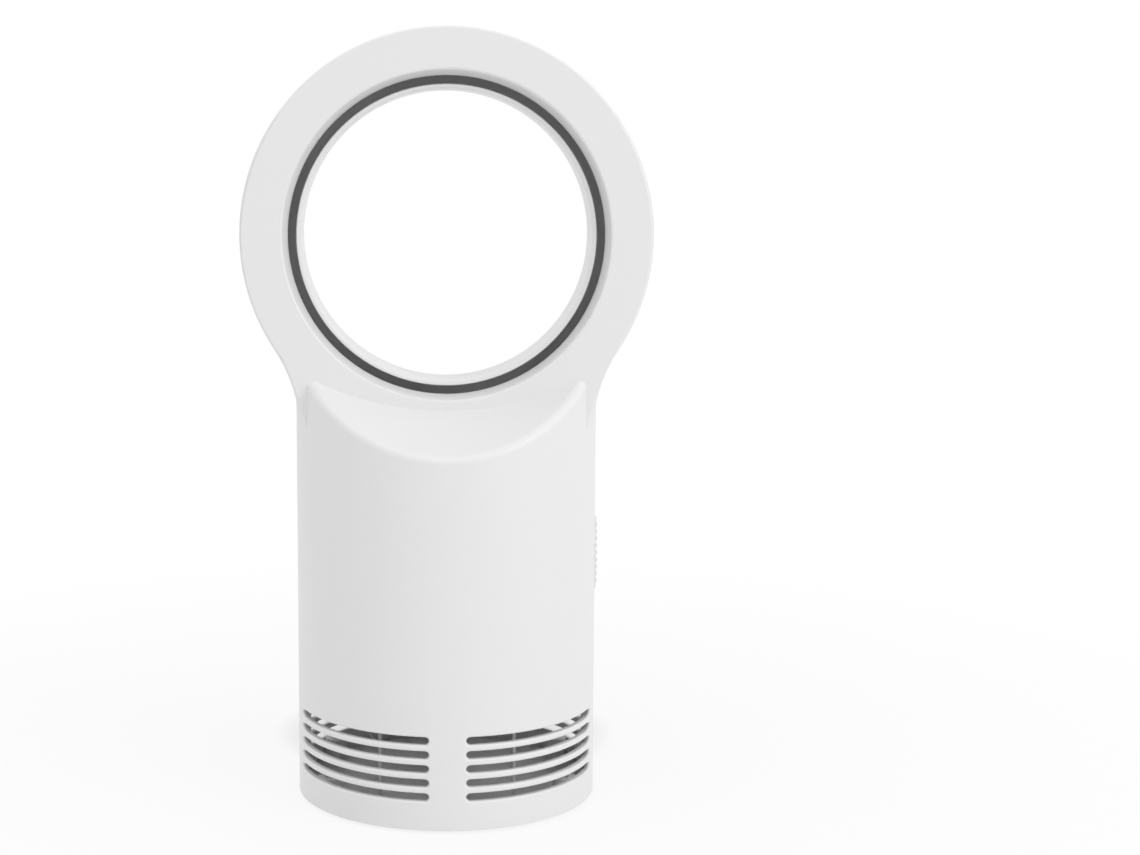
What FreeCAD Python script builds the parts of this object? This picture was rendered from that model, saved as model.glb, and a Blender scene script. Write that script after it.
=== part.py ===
import FreeCAD, Part
import math
import os
import re
import Sketcher

# Bladeless fan heater, in millimetres.
# +Z is up, the front looks towards -Y, and the origin lies on the floor under the middle of the foot.

doc = FreeCAD.newDocument("FanHeater")

casing_sizes = {
    "total_height": 300, "foot_proud": 1, "body_radius": 59, "wall": 2.2, "seam_gap": 0.3,
    "ring_radius": 78.5, "ring_depth": 50, "face_width": 16.2, "face_foot": 4.3,
    "neck_radius": 50, "waist_tuck": 1.93, "flare_radius": 67, "flare_drop": 11.4, "flare_tuck": 0.6,
    "scoop_radius": 123.5, "scoop_slope": 22, "scoop_round": 3, "edge_round": 1,
    "slit_gap": 4.8, "slit_wall": 1.8, "slit_depth": 8, "slit_taper": 1.6, "slit_round": 0.8,
    "liner_recess": 7.5, "liner_wall": 1.8, "liner_flare": 1.5, "liner_lip": 0.6,
    "liner_flange": 5, "liner_flange_thick": 1.8, "liner_inset": 0.5,
    "liner_rib": 7, "liner_rib_thick": 1.8,
    "slot_height": 3, "slot_pitch": 5.38, "slot_low": 13.65, "slot_start": 6.94, "slot_margin": 3.6,
    "slot_round": 0.8,
    "ledge_width": 2, "ledge_thick": 2.5,
}
fastener_sizes = {
    "head_radius": 2.9, "head_height": 1.8, "shank_radius": 1.4, "thread_gap": 0.05, "fit_gap": 0.2,
    "screw_reach": 12, "post_radius": 4.2, "boss_radius": 3.6, "head_room": 0.5, "seat_depth": 10,
    "body_screw_height": 41.7, "body_post_inset": 16.8,
    "base_boss_radius": 4.5, "base_boss_inset": 4, "base_boss_height": 8, "base_boss_angle": 60,
    "base_thick": 3, "base_gap": 0.3, "base_screw_reach": 6,
    "foot_radius": 6, "foot_thick": 2.5, "foot_circle": 43,
}
air_sizes = {
    "duct_radius": 42, "duct_wall": 2, "partition_height": 46, "partition_thick": 2.5, "flange_gap": 0.5,
    "duct_length": 58, "stay_thick": 1.2, "stay_deep": 4, "stay_side": 25.6, "stay_front": 38.2,
    "stay_rear_side": 28.4, "stay_back": 40.8,
    "bracket_step": 1.5, "bracket_step_thick": 2, "bracket_rise": 20,
    "hub_radius": 16, "hub_height": 13, "hub_wall": 1.6, "hub_boss": 4, "fan_rise": 4,
    "tip_gap": 1.2, "blade_thick": 1.4, "blade_chord": 18, "blade_root_pitch": 48, "blade_tip_pitch": 28,
    "cup_wall": 2, "cup_height": 10, "plate_thick": 2, "vane_thick": 1.5, "vane_height": 14,
    "bracket_ring": 1.8,
}
motor_sizes = {
    "motor_radius": 17.5, "motor_height": 33, "can_wall": 1.2, "shaft_radius": 1.5, "running_gap": 0.05,
    "bearing_radius": 4, "bearing_length": 4.5, "nose_radius": 5.2, "nose_height": 2.2,
    "cap_thick": 3, "cap_plug": 2, "magnet_thick": 3.2, "magnet_length": 17, "magnet_angle": 140,
    "air_gap": 0.5, "core_length": 15, "core_rise": 8.5, "core_hub": 5, "pole_width": 3.2, "pole_shoe": 1.8,
    "pole_angle": 52,
    "commutator_radius": 3.4, "commutator_length": 2.6, "coil_width": 1.6, "coil_overhang": 1.4,
    "motor_screw_circle": 11, "board_radius": 14, "board_thick": 1.6, "board_hole": 4.5, "board_stand": 1.4,
    "diode_radius": 1.3, "diode_length": 5, "diode_circle": 9,
}
heater_sizes = {
    "heater_height": 26, "core_width": 57, "core_depth": 40, "core_height": 20, "core_gap": 0.2,
    "core_lip": 2, "core_seat": 3, "flange_thick": 2.5, "bar_thick": 2.4, "fin_pitch": 3, "fin_sheet": 0.35,
    "blade_width": 6.3, "blade_sheet": 0.8, "blade_height": 9, "blade_inset": 6,
    "thermostat_radius": 7, "thermostat_height": 5, "thermostat_cap": 5.5, "thermostat_back": 33,
    "fuse_radius": 2, "fuse_length": 11, "fuse_lead": 0.5, "fuse_lead_length": 7, "fuse_front": 33,
}
switch_sizes = {
    "switch_height": 94.4, "switch_side": 9.6, "cap_length": 29.2, "cap_width": 11, "cap_gap": 0.15,
    "cap_proud": 1.2, "rib_proud": 0.5, "rib_pitch": 2.85, "rib_width": 1.4, "stem_length": 6,
    "stem_width": 3, "switch_travel": 5, "switch_deep": 7.4, "switch_wall": 1.5, "switch_tall": 29,
    "switch_wide": 12, "switch_stand": 2.6, "carriage_length": 9, "ear_length": 6, "ear_thick": 2.4,
    "stem_plunge": 2.6,
    "small_head_radius": 2, "small_head_height": 1.3, "small_shank_radius": 0.9,
}
tip_sizes = {
    "plunger_radius": 2.4, "plunger_gap": 0.1, "collar_radius": 4, "collar_thick": 1.6, "plunger_travel": 4,
    "sleeve_radius": 6.4, "sleeve_wall": 1.8, "sleeve_height": 18, "sleeve_foot": 2,
    "sleeve_roof": 1.6, "spring_radius": 3.3, "spring_wire": 0.5, "plunger_clear": 0.2,
    "micro_length": 16, "micro_width": 6, "micro_height": 8, "cheek_thick": 1.4, "micro_stand": 1.5,
    "micro_button": 1.2, "micro_button_rise": 1.2,
}
lead_sizes = {
    "gland_height": 24.4, "gland_radius": 5.2, "gland_flange": 6.4, "gland_flange_thick": 2, "gland_tail": 4,
    "lead_bore": 3.25, "gland_inset": 0.4,
    "block_width": 13, "block_depth": 11, "block_height": 11, "block_back": 36, "block_hole": 1,
    "block_pitch": 6, "block_screw": 1.6, "wire_radius": 0.9, "riser_side": 31.5, "riser_back": 38,
    "riser_hole": 1.6, "lead_turn": 13,
}
counts = {
    "slot_rows": 5, "blade_count": 7, "vane_count": 6, "pole_count": 5, "rib_count": 9, "spring_turns": 6,
}
ring_screw_angles = (30, 90, 150, 210, 330)
quarter_angles = (45, 135, 225, 315)
overrun = 2
micro_tab_share, pin_share, block_hole_share, lead_share = 0.36, 1.6, 0.4, 0.45
diode_row_share, tab_spread_share, tab_foot_share, pin_sunk_share = 0.7, 0.7, 0.9, 0.9

sheet = doc.addObject("Spreadsheet::Sheet", "Sizes")
groups = (casing_sizes, fastener_sizes, air_sizes, motor_sizes, heater_sizes, switch_sizes, tip_sizes,
          lead_sizes)
names = []
for group in groups + ({"overrun": overrun},):
    for name, value in group.items():
        names.append(name)
        sheet.set(f"A{len(names)}", name)
        sheet.set(f"B{len(names)}", str(value))
        sheet.setAlias(f"B{len(names)}", name)
doc.recompute()

# Places that several pieces share, as formulas of the sheet's sizes
ring_height = "(total_height - ring_radius)"
half_depth = "(ring_depth / 2)"
inner_radius = "(body_radius - wall)"
slit_radius = "(ring_radius - face_width)"
liner_radius = "(ring_radius - face_width - slit_gap)"
tail_radius = f"({liner_radius} + liner_flare)"
tail_end = f"({half_depth} - liner_inset)"
band_radius = f"(({slit_radius} + slit_wall + ring_radius - wall) / 2)"
base_top = "(foot_proud + base_thick)"
boss_circle = f"({inner_radius} - base_boss_inset)"
body_post = f"({inner_radius} - body_post_inset)"
partition_top = "(partition_height + partition_thick)"
duct_top = "(partition_height + duct_length)"
heater_top = f"({duct_top} + heater_height)"
bracket_low = "(partition_height + bracket_rise)"
motor_low = f"({bracket_low} + plate_thick)"
motor_top = f"({motor_low} + motor_height)"
hub_low = "(partition_height + fan_rise)"
flange_radius = f"({inner_radius} - flange_gap)"
switch_back = f"({inner_radius} - switch_stand - switch_deep)"
sleeve_top = f"({base_top} + sleeve_height)"
micro_low = f"({sleeve_top} + micro_stand)"
far = "(2 * ring_radius)"


def size(name):
    return float(sheet.get(name))


def spell(formula):
    return re.sub(r"[a-z_]+", lambda word: f"Sizes.{word[0]}" if word[0] in names else word[0], str(formula))


def bind(thing, **formulas):
    for name, formula in formulas.items():
        thing.setExpression(name, spell(formula))


def place(thing, x, y, z, axis="Z"):
    turns = {"Z": (0, 0, 1, 0), "Y": (1, 0, 0, -90), "X": (0, 1, 0, 90)}
    ax, ay, az, angle = turns[axis]
    thing.Placement = FreeCAD.Placement(FreeCAD.Vector(), FreeCAD.Rotation(FreeCAD.Vector(ax, ay, az), angle))
    for letter, formula in zip("xyz", (x, y, z)):
        thing.setExpression(f"Placement.Base.{letter}", spell(formula))
    return thing


def rod(name, radius, length, x=0, y=0, z=0, axis="Z"):
    thing = doc.addObject("Part::Cylinder", name)
    bind(thing, Radius=radius, Height=length)
    return place(thing, x, y, z, axis)


def block(name, width, depth, height, x=0, y=0, z=0):
    thing = doc.addObject("Part::Box", name)
    bind(thing, Length=width, Width=depth, Height=height)
    return place(thing, f"{x} - ({width}) / 2", y, z)


def fuse(name, *parts):
    thing = doc.addObject("Part::MultiFuse", name)
    thing.Shapes = list(parts)
    return thing


def group(name, parts):
    thing = doc.addObject("Part::Compound", name)
    thing.Links = list(parts)
    return thing


def cut(name, base, *tools):
    thing = doc.addObject("Part::Cut", name)
    thing.Base = base
    thing.Tool = tools[0] if len(tools) == 1 else fuse(f"{name}_tools", *tools)
    return thing


def common(name, first, second):
    thing = doc.addObject("Part::Common", name)
    thing.Base = first
    thing.Tool = second
    return thing


def tube(name, radius, bore, length, x=0, y=0, z=0, axis="Z"):
    outside = rod(f"{name}_round", radius, length, x, y, z, axis)
    return cut(name, outside, rod(f"{name}_bore", bore, length, x, y, z, axis))


def feature(name, shape):
    thing = doc.addObject("Part::Feature", name)
    thing.Shape = shape
    thing.Placement = FreeCAD.Placement()
    return thing


def outline(body, role, corners, rise):
    sketch = body.newObject("Sketcher::SketchObject", f"{body.Name}_outline")
    sketch.AttachmentSupport = [([item for item in body.Origin.OriginFeatures if item.Role == role][0], "")]
    sketch.MapMode = "FlatFace"
    sketch.setExpression("AttachmentOffset.Base.y", spell(rise))
    count = len(corners)
    turn = [2 * math.pi * index / count for index in range(count)]
    start = [FreeCAD.Vector(math.cos(angle), math.sin(angle), 0) for angle in turn]
    for index in range(count):
        sketch.addGeometry(Part.LineSegment(start[index], start[(index + 1) % count]), False)
    for index in range(count):
        sketch.addConstraint(Sketcher.Constraint("Coincident", index, 2, (index + 1) % count, 1))
    for index, corner in enumerate(corners):
        for kind, formula, value in zip(("DistanceX", "DistanceY"), corner, start[index]):
            number = sketch.addConstraint(Sketcher.Constraint(kind, -1, 1, index, 1, value))
            sketch.setExpression(f"Constraints[{number}]", spell(formula))
    return sketch


def turned_on_ring(name, corners):
    # corners are depth and radius, turned about the ring's own axis
    body = doc.addObject("PartDesign::Body", name)
    sketch = outline(body, "YZ_Plane", corners, ring_height)
    spin = body.newObject("PartDesign::Revolution", f"{name}_turn")
    spin.Profile = sketch
    spin.ReferenceAxis = (sketch, ["H_Axis"])
    spin.Angle = 360
    return body


def rounded(name, base, radius, test):
    doc.recompute()
    edges = [number for number, edge in enumerate(base.Shape.Edges, 1) if test(edge)]
    thing = doc.addObject("Part::Fillet", name)
    thing.Base = base
    thing.Edges = [(number, size(radius), size(radius)) for number in edges]
    return thing


def on_circle(circle, degrees, lift):
    angle = math.radians(degrees)
    return f"({circle}) * {math.cos(angle)}", f"{lift} + ({circle}) * {math.sin(angle)}"


def screws(name, places, axis, head_radius, head_height, shank_radius, length, sign):
    # each place is the middle of the head's seat; the head stands behind it, the shank runs ahead of it
    made = []
    for number, (x, y, z) in enumerate(places):
        spots = {"head": (head_radius, head_height, "0" if sign > 0 else f"-({head_height})"),
                 "shank": (shank_radius, length, f"-({length})" if sign > 0 else "0")}
        pieces = []
        for part_name, (radius, reach, shift) in spots.items():
            spot = [x, y, z]
            spot["XYZ".index(axis)] += f" + {shift}"
            pieces.append(rod(f"{name}_{part_name}_{number}", radius, reach, *spot, axis))
        made.append(fuse(f"{name}_{number}", *pieces))
    return group(name, made)


# Casing

def neck_middle():
    # where the neck's arc has its middle, so that it runs smoothly on from the ring
    reach = size("ring_radius") + size("neck_radius")
    neck_x = size("body_radius") - size("waist_tuck") + size("neck_radius")
    return neck_x, size("total_height") - size("ring_radius") - math.sqrt(reach ** 2 - neck_x ** 2)


def slab_outline(inset):
    # the ring and two concave necks that run down into the trunk, in the ring's middle plane
    ring, neck = size("ring_radius") - inset, size("neck_radius") + inset
    top = size("total_height") - size("ring_radius")
    neck_x, neck_z = neck_middle()

    def arc(side, x, z, radius, first, last):
        points = []
        for angle in (first, (first + last) / 2, last):
            across, up = x + radius * math.cos(angle), z + radius * math.sin(angle)
            points.append(FreeCAD.Vector(side * across, 0, up))
        return Part.Arc(*points).toShape()

    join = math.atan2(neck_z - top, neck_x)
    edges = [arc(1, 0, top, ring, join, math.pi - join)]
    for side in (1, -1):
        edges.append(arc(side, neck_x, neck_z, neck, math.pi + join, math.pi))
    waist, low = neck_x - neck, neck_z - size("flare_drop")
    corners = [FreeCAD.Vector(x, 0, z) for x, z in (
        (-waist, neck_z), (-waist, low), (waist, low), (waist, neck_z))]
    edges += [Part.LineSegment(*ends).toShape() for ends in zip(corners, corners[1:])]
    return Part.Wire(Part.sortEdges(edges)[0])


def flare_form(inset):
    # turned form that leads the trunk's round side out to the slab, and trims the slab's corners
    low = neck_middle()[1] - size("flare_drop")
    waist, bend = size("body_radius") - size("flare_tuck") - inset, size("flare_radius") + inset
    rim = math.hypot(size("ring_radius"), size("ring_depth") / 2) + overrun
    turn = math.acos(1 - (rim - waist) / bend)
    curve = [FreeCAD.Vector(waist + bend * (1 - math.cos(turn * share)), 0, low + bend * math.sin(turn * share))
             for share in (0, 0.5, 1)]
    roof = size("total_height") + overrun
    rest = [curve[-1]] + [FreeCAD.Vector(x, 0, z) for x, z in ((rim, roof), (0, roof), (0, 0), (waist, 0))]
    edges = [Part.Arc(*curve).toShape(), *Part.makePolygon(rest + [curve[0]]).Edges]
    return Part.Face(Part.Wire(edges)).revolve(FreeCAD.Vector(), FreeCAD.Vector(0, 0, 1), 360)


def casing_half(name, inset, floor, back):
    # front half of the casing's form: a trunk with a scooped shoulder, and the flat slab of the ring
    trunk = rod(f"{name}_trunk", f"body_radius - {inset}", f"{ring_height} - ({floor})", z=floor)
    front = block(f"{name}_front", far, far, "total_height", y=f"{back} - {far}")
    scoop = rod(f"{name}_scoop", f"scoop_radius + {inset}", f"2 * {far}")
    scoop.Placement = FreeCAD.Placement(FreeCAD.Vector(), FreeCAD.Rotation(FreeCAD.Vector(1, 0, 0), 1))
    scoop.setExpression("Placement.Rotation.Angle", spell("90 + scoop_slope"))
    scoop.setExpression("Placement.Base.y", spell(
        f"{far} * cos(scoop_slope) - {half_depth} - scoop_radius * sin(scoop_slope)"))
    scoop.setExpression("Placement.Base.z", spell(
        f"{ring_height} - {slit_radius} - face_foot + scoop_radius * cos(scoop_slope)"
        f" + {far} * sin(scoop_slope)"))
    shoulder = cut(f"{name}_shoulder", common(f"{name}_half", trunk, front), scoop)
    wire = feature(f"{name}_wire", slab_outline(size("wall") if inset != "0" else 0))
    slab = doc.addObject("Part::Extrusion", f"{name}_slab")
    slab.Base = wire
    slab.DirMode = "Custom"
    slab.Dir = FreeCAD.Vector(0, -1, 0)
    slab.Solid = True
    bind(slab, LengthFwd=f"{half_depth} - {inset}", LengthRev=back)
    return shoulder, slab


def is_shoulder_edge(edge):
    # the lip where the scoop meets the trunk, and no straight or flat edge
    spread = edge.BoundBox
    on_trunk = all(abs(math.hypot(v.X, v.Y) - size("body_radius")) < size("seam_gap") for v in edge.Vertexes)
    return on_trunk and spread.ZMin > size("total_height") / 3 and spread.ZLength > size("wall")


def is_face_edge(edge):
    return abs(edge.BoundBox.YMax + size("ring_depth") / 2) < size("seam_gap")


def is_slot_edge(edge):
    # the mouth of an intake slot on the trunk's outer face
    spread, reach = edge.BoundBox, edge.ParameterRange
    middle = edge.valueAt((reach[0] + reach[1]) / 2)
    on_trunk = all(abs(math.hypot(spot.x, spot.y) - size("body_radius")) < size("seam_gap") / 10
                   for spot in (middle, edge.Vertexes[0].Point, edge.Vertexes[-1].Point))
    low = size("slot_low") - size("slot_height")
    top = size("slot_low") + (counts["slot_rows"] - 1) * size("slot_pitch") + size("slot_height")
    return on_trunk and not edge.Closed and spread.ZMin > low and spread.ZMax < top


outer_shoulder, outer_slab = casing_half("outer", "0", "foot_proud", "0")
outer_shoulder = rounded("outer_lip", outer_shoulder, "scoop_round", is_shoulder_edge)
outer_slab = rounded("outer_face", outer_slab, "edge_round", is_face_edge)
outer_flank = common("outer_flank", outer_slab, feature("outer_flare", flare_form(0)))
outer_form = fuse("outer_form", outer_shoulder, outer_flank)
inner_shoulder, inner_slab = casing_half("inner", "wall", "0", "overrun")
inner_flank = common("inner_flank", inner_slab, feature("inner_flare", flare_form(size("wall"))))
inner_form = fuse("inner_form", inner_shoulder, inner_flank)
half_shell = cut("half_shell", outer_form, inner_form)


def slot_cutters():
    # straight obround slots through the trunk from front to back, either side of a pillar
    radius, reach = size("slot_height") / 2, size("body_radius") + overrun
    outer_end = size("body_radius") - size("slot_margin")
    shapes = []
    for row in range(counts["slot_rows"]):
        height = size("slot_low") + row * size("slot_pitch")
        for side in (1, -1):
            ends = [side * (size("slot_start") + radius), side * (outer_end - radius)]
            low, high = min(ends), max(ends)
            corners = ((low, -radius), (high, -radius), (high, radius), (low, radius))
            points = [FreeCAD.Vector(x, -reach, height + z) for x, z in corners]
            tips = [FreeCAD.Vector(high + radius, -reach, height), FreeCAD.Vector(low - radius, -reach, height)]
            wire = Part.Wire([Part.LineSegment(points[0], points[1]).toShape(),
                              Part.Arc(points[1], tips[0], points[2]).toShape(),
                              Part.LineSegment(points[2], points[3]).toShape(),
                              Part.Arc(points[3], tips[1], points[0]).toShape()])
            shapes.append(Part.Face(wire).extrude(FreeCAD.Vector(0, 2 * reach, 0)))
    return feature("intake_slots", Part.makeCompound(shapes))


intake_slots = slot_cutters()
ledges = [tube(f"ledge_{number}", f"{inner_radius} + wall / 2", f"{inner_radius} - ledge_width", "ledge_thick",
               z=low)
          for number, low in enumerate(("partition_height - ledge_thick", f"{heater_top} - ledge_thick"))]
ring_spots = [on_circle(band_radius, angle, ring_height) for angle in ring_screw_angles]
body_spots = [(f"{side} * {body_post}", "body_screw_height") for side in (1, -1)]
screw_spots = ring_spots + body_spots
base_spots = [(f"{side} * {boss_circle} * sin(base_boss_angle)",
               f"{end} * {boss_circle} * cos(base_boss_angle)") for end in (-1, 1) for side in (-1, 1)]
ear_heights = [f"switch_height + {side} * (switch_tall + ear_length) / 2" for side in (-1, 1)]


def base_bosses(name, spots):
    bosses = []
    for number, (x, y) in enumerate(spots):
        boss = rod(f"{name}_base_boss_{number}", "base_boss_radius", "base_boss_height", x, y, base_top)
        bosses.append(cut(f"{name}_base_stud_{number}", boss, rod(
            f"{name}_base_pilot_{number}", "shank_radius + thread_gap", "base_boss_height", x, y, base_top)))
    return bosses


def front_housing():
    hole = rod("front_hole", slit_radius, "ring_depth", y="-ring_depth", z=ring_height, axis="Y")
    skin = cut("front_skin", half_shell, hole, intake_slots)
    bosses = [rod(f"front_boss_{number}", "boss_radius", "body_radius", x, "-body_radius", z, "Y")
              for number, (x, z) in enumerate(screw_spots)]
    studs = fuse("front_bosses", *bosses, *base_bosses("front", base_spots[:2]), *ledges)
    inside = common("front_studs", studs, outer_form)
    pilots = [rod(f"front_pilot_{number}", "shank_radius + thread_gap", "screw_reach + 2 * head_room",
                  x, "-screw_reach - 2 * head_room", z, "Y") for number, (x, z) in enumerate(screw_spots)]
    whole = cut("front_whole", fuse("front_joined", skin, inside), *pilots)
    room = block("front_room", far, far, "total_height", y=f"-{far} - seam_gap / 2")
    trimmed = common("front_trimmed", whole, room)
    mouth, throat = f"wall / 2 - {half_depth}", f"slit_depth - {half_depth}"
    wall = turned_on_ring("slit_wall_ring", [
        (mouth, slit_radius), (mouth, f"{slit_radius} + slit_wall"),
        (throat, f"{slit_radius} + slit_wall - slit_taper"), (throat, f"{slit_radius} - slit_taper")])
    joined = rounded("front_open", fuse("front_walled", trimmed, wall), "slot_round", is_slot_edge)
    return rounded("front_housing", joined, "slit_round", lambda edge: is_face_edge(edge) and edge.Closed)


def rear_housing():
    mirrored = doc.addObject("Part::Mirroring", "rear_shell")
    mirrored.Source = half_shell
    mirrored.Normal = FreeCAD.Vector(0, 1, 0)
    rear_form = doc.addObject("Part::Mirroring", "rear_form")
    rear_form.Source = outer_form
    rear_form.Normal = FreeCAD.Vector(0, 1, 0)
    hole = rod("rear_hole", f"{tail_radius} + fit_gap", "ring_depth", z=ring_height, axis="Y")
    gland = rod("gland_hole", "gland_radius + fit_gap", "body_radius", z="gland_height", axis="Y")
    skin = cut("rear_skin", mirrored, hole, intake_slots, gland)
    posts = [rod(f"rear_post_{number}", "post_radius", "body_radius", x, 0, z, "Y")
             for number, (x, z) in enumerate(screw_spots)]
    pads = [block(f"switch_pad_{number}", "2 * wall", "switch_wide - 2 * switch_wall", "ear_length",
                  f"{inner_radius} - switch_stand + wall", "switch_side - switch_wide / 2 + switch_wall",
                  f"{middle} - ear_length / 2") for number, middle in enumerate(ear_heights)]
    studs = fuse("rear_posts", *posts, *base_bosses("rear", base_spots[2:]), *ledges, *pads)
    inside = common("rear_studs", studs, rear_form)
    bores = []
    for number, (x, z) in enumerate(screw_spots):
        bores.append(rod(f"rear_bore_{number}", "shank_radius + fit_gap", "body_radius", x, 0, z, "Y"))
        bores.append(rod(f"rear_well_{number}", "head_radius + head_room", "body_radius",
                         x, "seat_depth", z, "Y"))
    window = block("switch_window", "body_radius", "stem_width + 4 * fit_gap",
                   "stem_length + 2 * switch_travel + 4 * fit_gap", "body_radius",
                   "switch_side - stem_width / 2 - 2 * fit_gap",
                   "switch_height - stem_length / 2 - switch_travel - 2 * fit_gap")
    holes = [rod(f"switch_pilot_{number}", "small_shank_radius + thread_gap", "wall",
                 f"{inner_radius} - switch_stand", "switch_side", middle, "X")
             for number, middle in enumerate(ear_heights)]
    whole = cut("rear_whole", fuse("rear_joined", skin, inside), *bores, window, *holes)
    room = block("rear_room", far, far, "total_height", y="seam_gap / 2")
    return rounded("rear_housing", common("rear_trimmed", whole, room), "slot_round", is_slot_edge)


def nozzle_liner():
    front = f"liner_recess - {half_depth}"
    back = f"{half_depth} - wall"
    sleeve = turned_on_ring("liner_sleeve", [
        (front, f"{liner_radius} - liner_wall + liner_lip"),
        (f"{front} + liner_lip * 2", f"{liner_radius} - liner_wall"),
        (tail_end, f"{tail_radius} - liner_wall"), (tail_end, tail_radius), (back, tail_radius),
        (back, f"{tail_radius} + liner_flange"),
        (f"{back} - liner_flange_thick", f"{tail_radius} + liner_flange"),
        (f"{back} - liner_flange_thick", tail_radius), (f"{front} + liner_lip", liner_radius),
        (front, f"{liner_radius} - liner_lip / 2")])
    # a stiffening rib half way in, which also turns the air towards the slit
    rib = tube("liner_rib_ring", f"{liner_radius} + liner_rib", liner_radius, "liner_rib_thick",
               z=ring_height, axis="Y")
    return fuse("nozzle_liner", sleeve, rib)


def base_plate():
    disc = rod("base_disc", f"{inner_radius} - base_gap", "base_thick", z="foot_proud")
    holes = [rod("plunger_hole", "plunger_radius + plunger_gap", "base_thick", z="foot_proud")]
    for number, (x, y) in enumerate(base_spots):
        holes.append(rod(f"base_hole_{number}", "shank_radius + fit_gap", "base_thick", x, y, "foot_proud"))
        holes.append(rod(f"base_well_{number}", "head_radius + fit_gap", "head_height", x, y, "foot_proud"))
    for number, angle in enumerate(quarter_angles):
        x, y = on_circle("foot_circle", angle, 0)
        holes.append(rod(f"foot_well_{number}", "foot_radius + fit_gap / 2", "foot_thick - foot_proud",
                         x, y, "foot_proud"))
    return cut("base_plate", disc, *holes)


def rubber_feet():
    feet = []
    for number, angle in enumerate(quarter_angles):
        x, y = on_circle("foot_circle", angle, 0)
        feet.append(rod(f"foot_{number}", "foot_radius", "foot_thick", x, y))
    return group("rubber_feet", feet)


def base_screws():
    places = [(x, y, "foot_proud + head_height") for x, y in base_spots]
    return screws("base_screws", places, "Z", "head_radius", "head_height", "shank_radius",
                  "base_thick - head_height + base_screw_reach", -1)


def housing_screws():
    places = [(x, "seat_depth", z) for x, z in screw_spots]
    return screws("housing_screws", places, "Y", "head_radius", "head_height", "shank_radius",
                  "seat_depth + screw_reach", 1)


# Air path and motor

def riser_holes(name, low):
    return [rod(f"{name}_riser_{number}", "riser_hole", "partition_thick + flange_thick",
                f"{side} * riser_side", "riser_back", low) for number, side in enumerate((-1, 1))]


def fan_duct():
    partition = tube("partition", flange_radius, "duct_radius", "partition_thick", z="partition_height")
    barrel = tube("barrel", "duct_radius + duct_wall", "duct_radius", "duct_length", z="partition_height")
    step = tube("bracket_seat", "duct_radius + duct_wall / 2", "duct_radius - bracket_step",
                "bracket_step_thick", z=f"{bracket_low} - bracket_step_thick")
    stay_rows = (("stay_rear_side", "stay_back"), ("stay_side", "-stay_front"))
    stay_spots = [(f"{side} * {reach}", f"{back} - stay_deep / 2")
                  for reach, back in stay_rows for side in (-1, 1)]
    stays = [block(f"stay_{number}", "stay_thick", "stay_deep", f"{partition_top} - {base_top}", x, y, base_top)
             for number, (x, y) in enumerate(stay_spots)]
    joined = fuse("duct_joined", partition, barrel, step, *stays)
    return cut("fan_duct", joined, *riser_holes("duct", "partition_height"))


def blade(index):
    # a twisted plate from the hub to past the tip, thin at both edges
    sections = []
    root, tip = size("hub_radius") - size("hub_wall"), size("duct_radius")
    for radius, pitch in ((root, size("blade_root_pitch")), (tip, size("blade_tip_pitch"))):
        lean = math.radians(pitch)
        half, thick = size("blade_chord") / 2, size("blade_thick") / 2
        along = FreeCAD.Vector(0, math.cos(lean), math.sin(lean))
        across = FreeCAD.Vector(0, -math.sin(lean), math.cos(lean))
        middle = FreeCAD.Vector(radius, 0, 0)
        corners = [middle - along * half, middle - across * thick,
                   middle + along * half, middle + across * thick]
        sections.append(Part.makePolygon(corners + corners[:1]))
    shape = Part.makeLoft(sections, True, True)
    shape.rotate(FreeCAD.Vector(), FreeCAD.Vector(0, 0, 1), 360 * index / counts["blade_count"])
    shape.translate(FreeCAD.Vector(0, 0, size("partition_height") + size("fan_rise") + size("hub_height") / 2))
    return shape


def impeller():
    blades = feature("blades", Part.makeCompound([blade(index) for index in range(counts["blade_count"])]))
    sweep = rod("blade_sweep", "duct_radius - tip_gap", "hub_height", z=hub_low)
    shell = cut("hub_shell", rod("hub_round", "hub_radius", "hub_height", z=hub_low),
                rod("hub_hollow", "hub_radius - hub_wall", "hub_height - hub_wall", z=f"{hub_low} + hub_wall"))
    hub_core = rod("hub_core", "hub_radius - hub_wall / 2", "hub_height", z=hub_low)
    core = common("blade_trim", blades, cut("blade_room", sweep, hub_core))
    boss = rod("hub_boss", "hub_boss", "hub_height", z=hub_low)
    return cut("impeller", fuse("impeller_joined", shell, core, boss), rod(
        "hub_bore", "shaft_radius + thread_gap", "hub_height - hub_wall", z=f"{hub_low} + hub_wall"))


def spaced(name, count, make):
    # copies of one upright plate, evenly turned about the axis
    plates = []
    for index in range(count):
        spin = FreeCAD.Rotation(FreeCAD.Vector(0, 0, 1), 360 * index / count)
        turned_plate = feature(f"{name}_turned_{index}", make())
        turned_plate.Placement = FreeCAD.Placement(FreeCAD.Vector(), spin)
        plates.append(turned_plate)
    return plates


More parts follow.
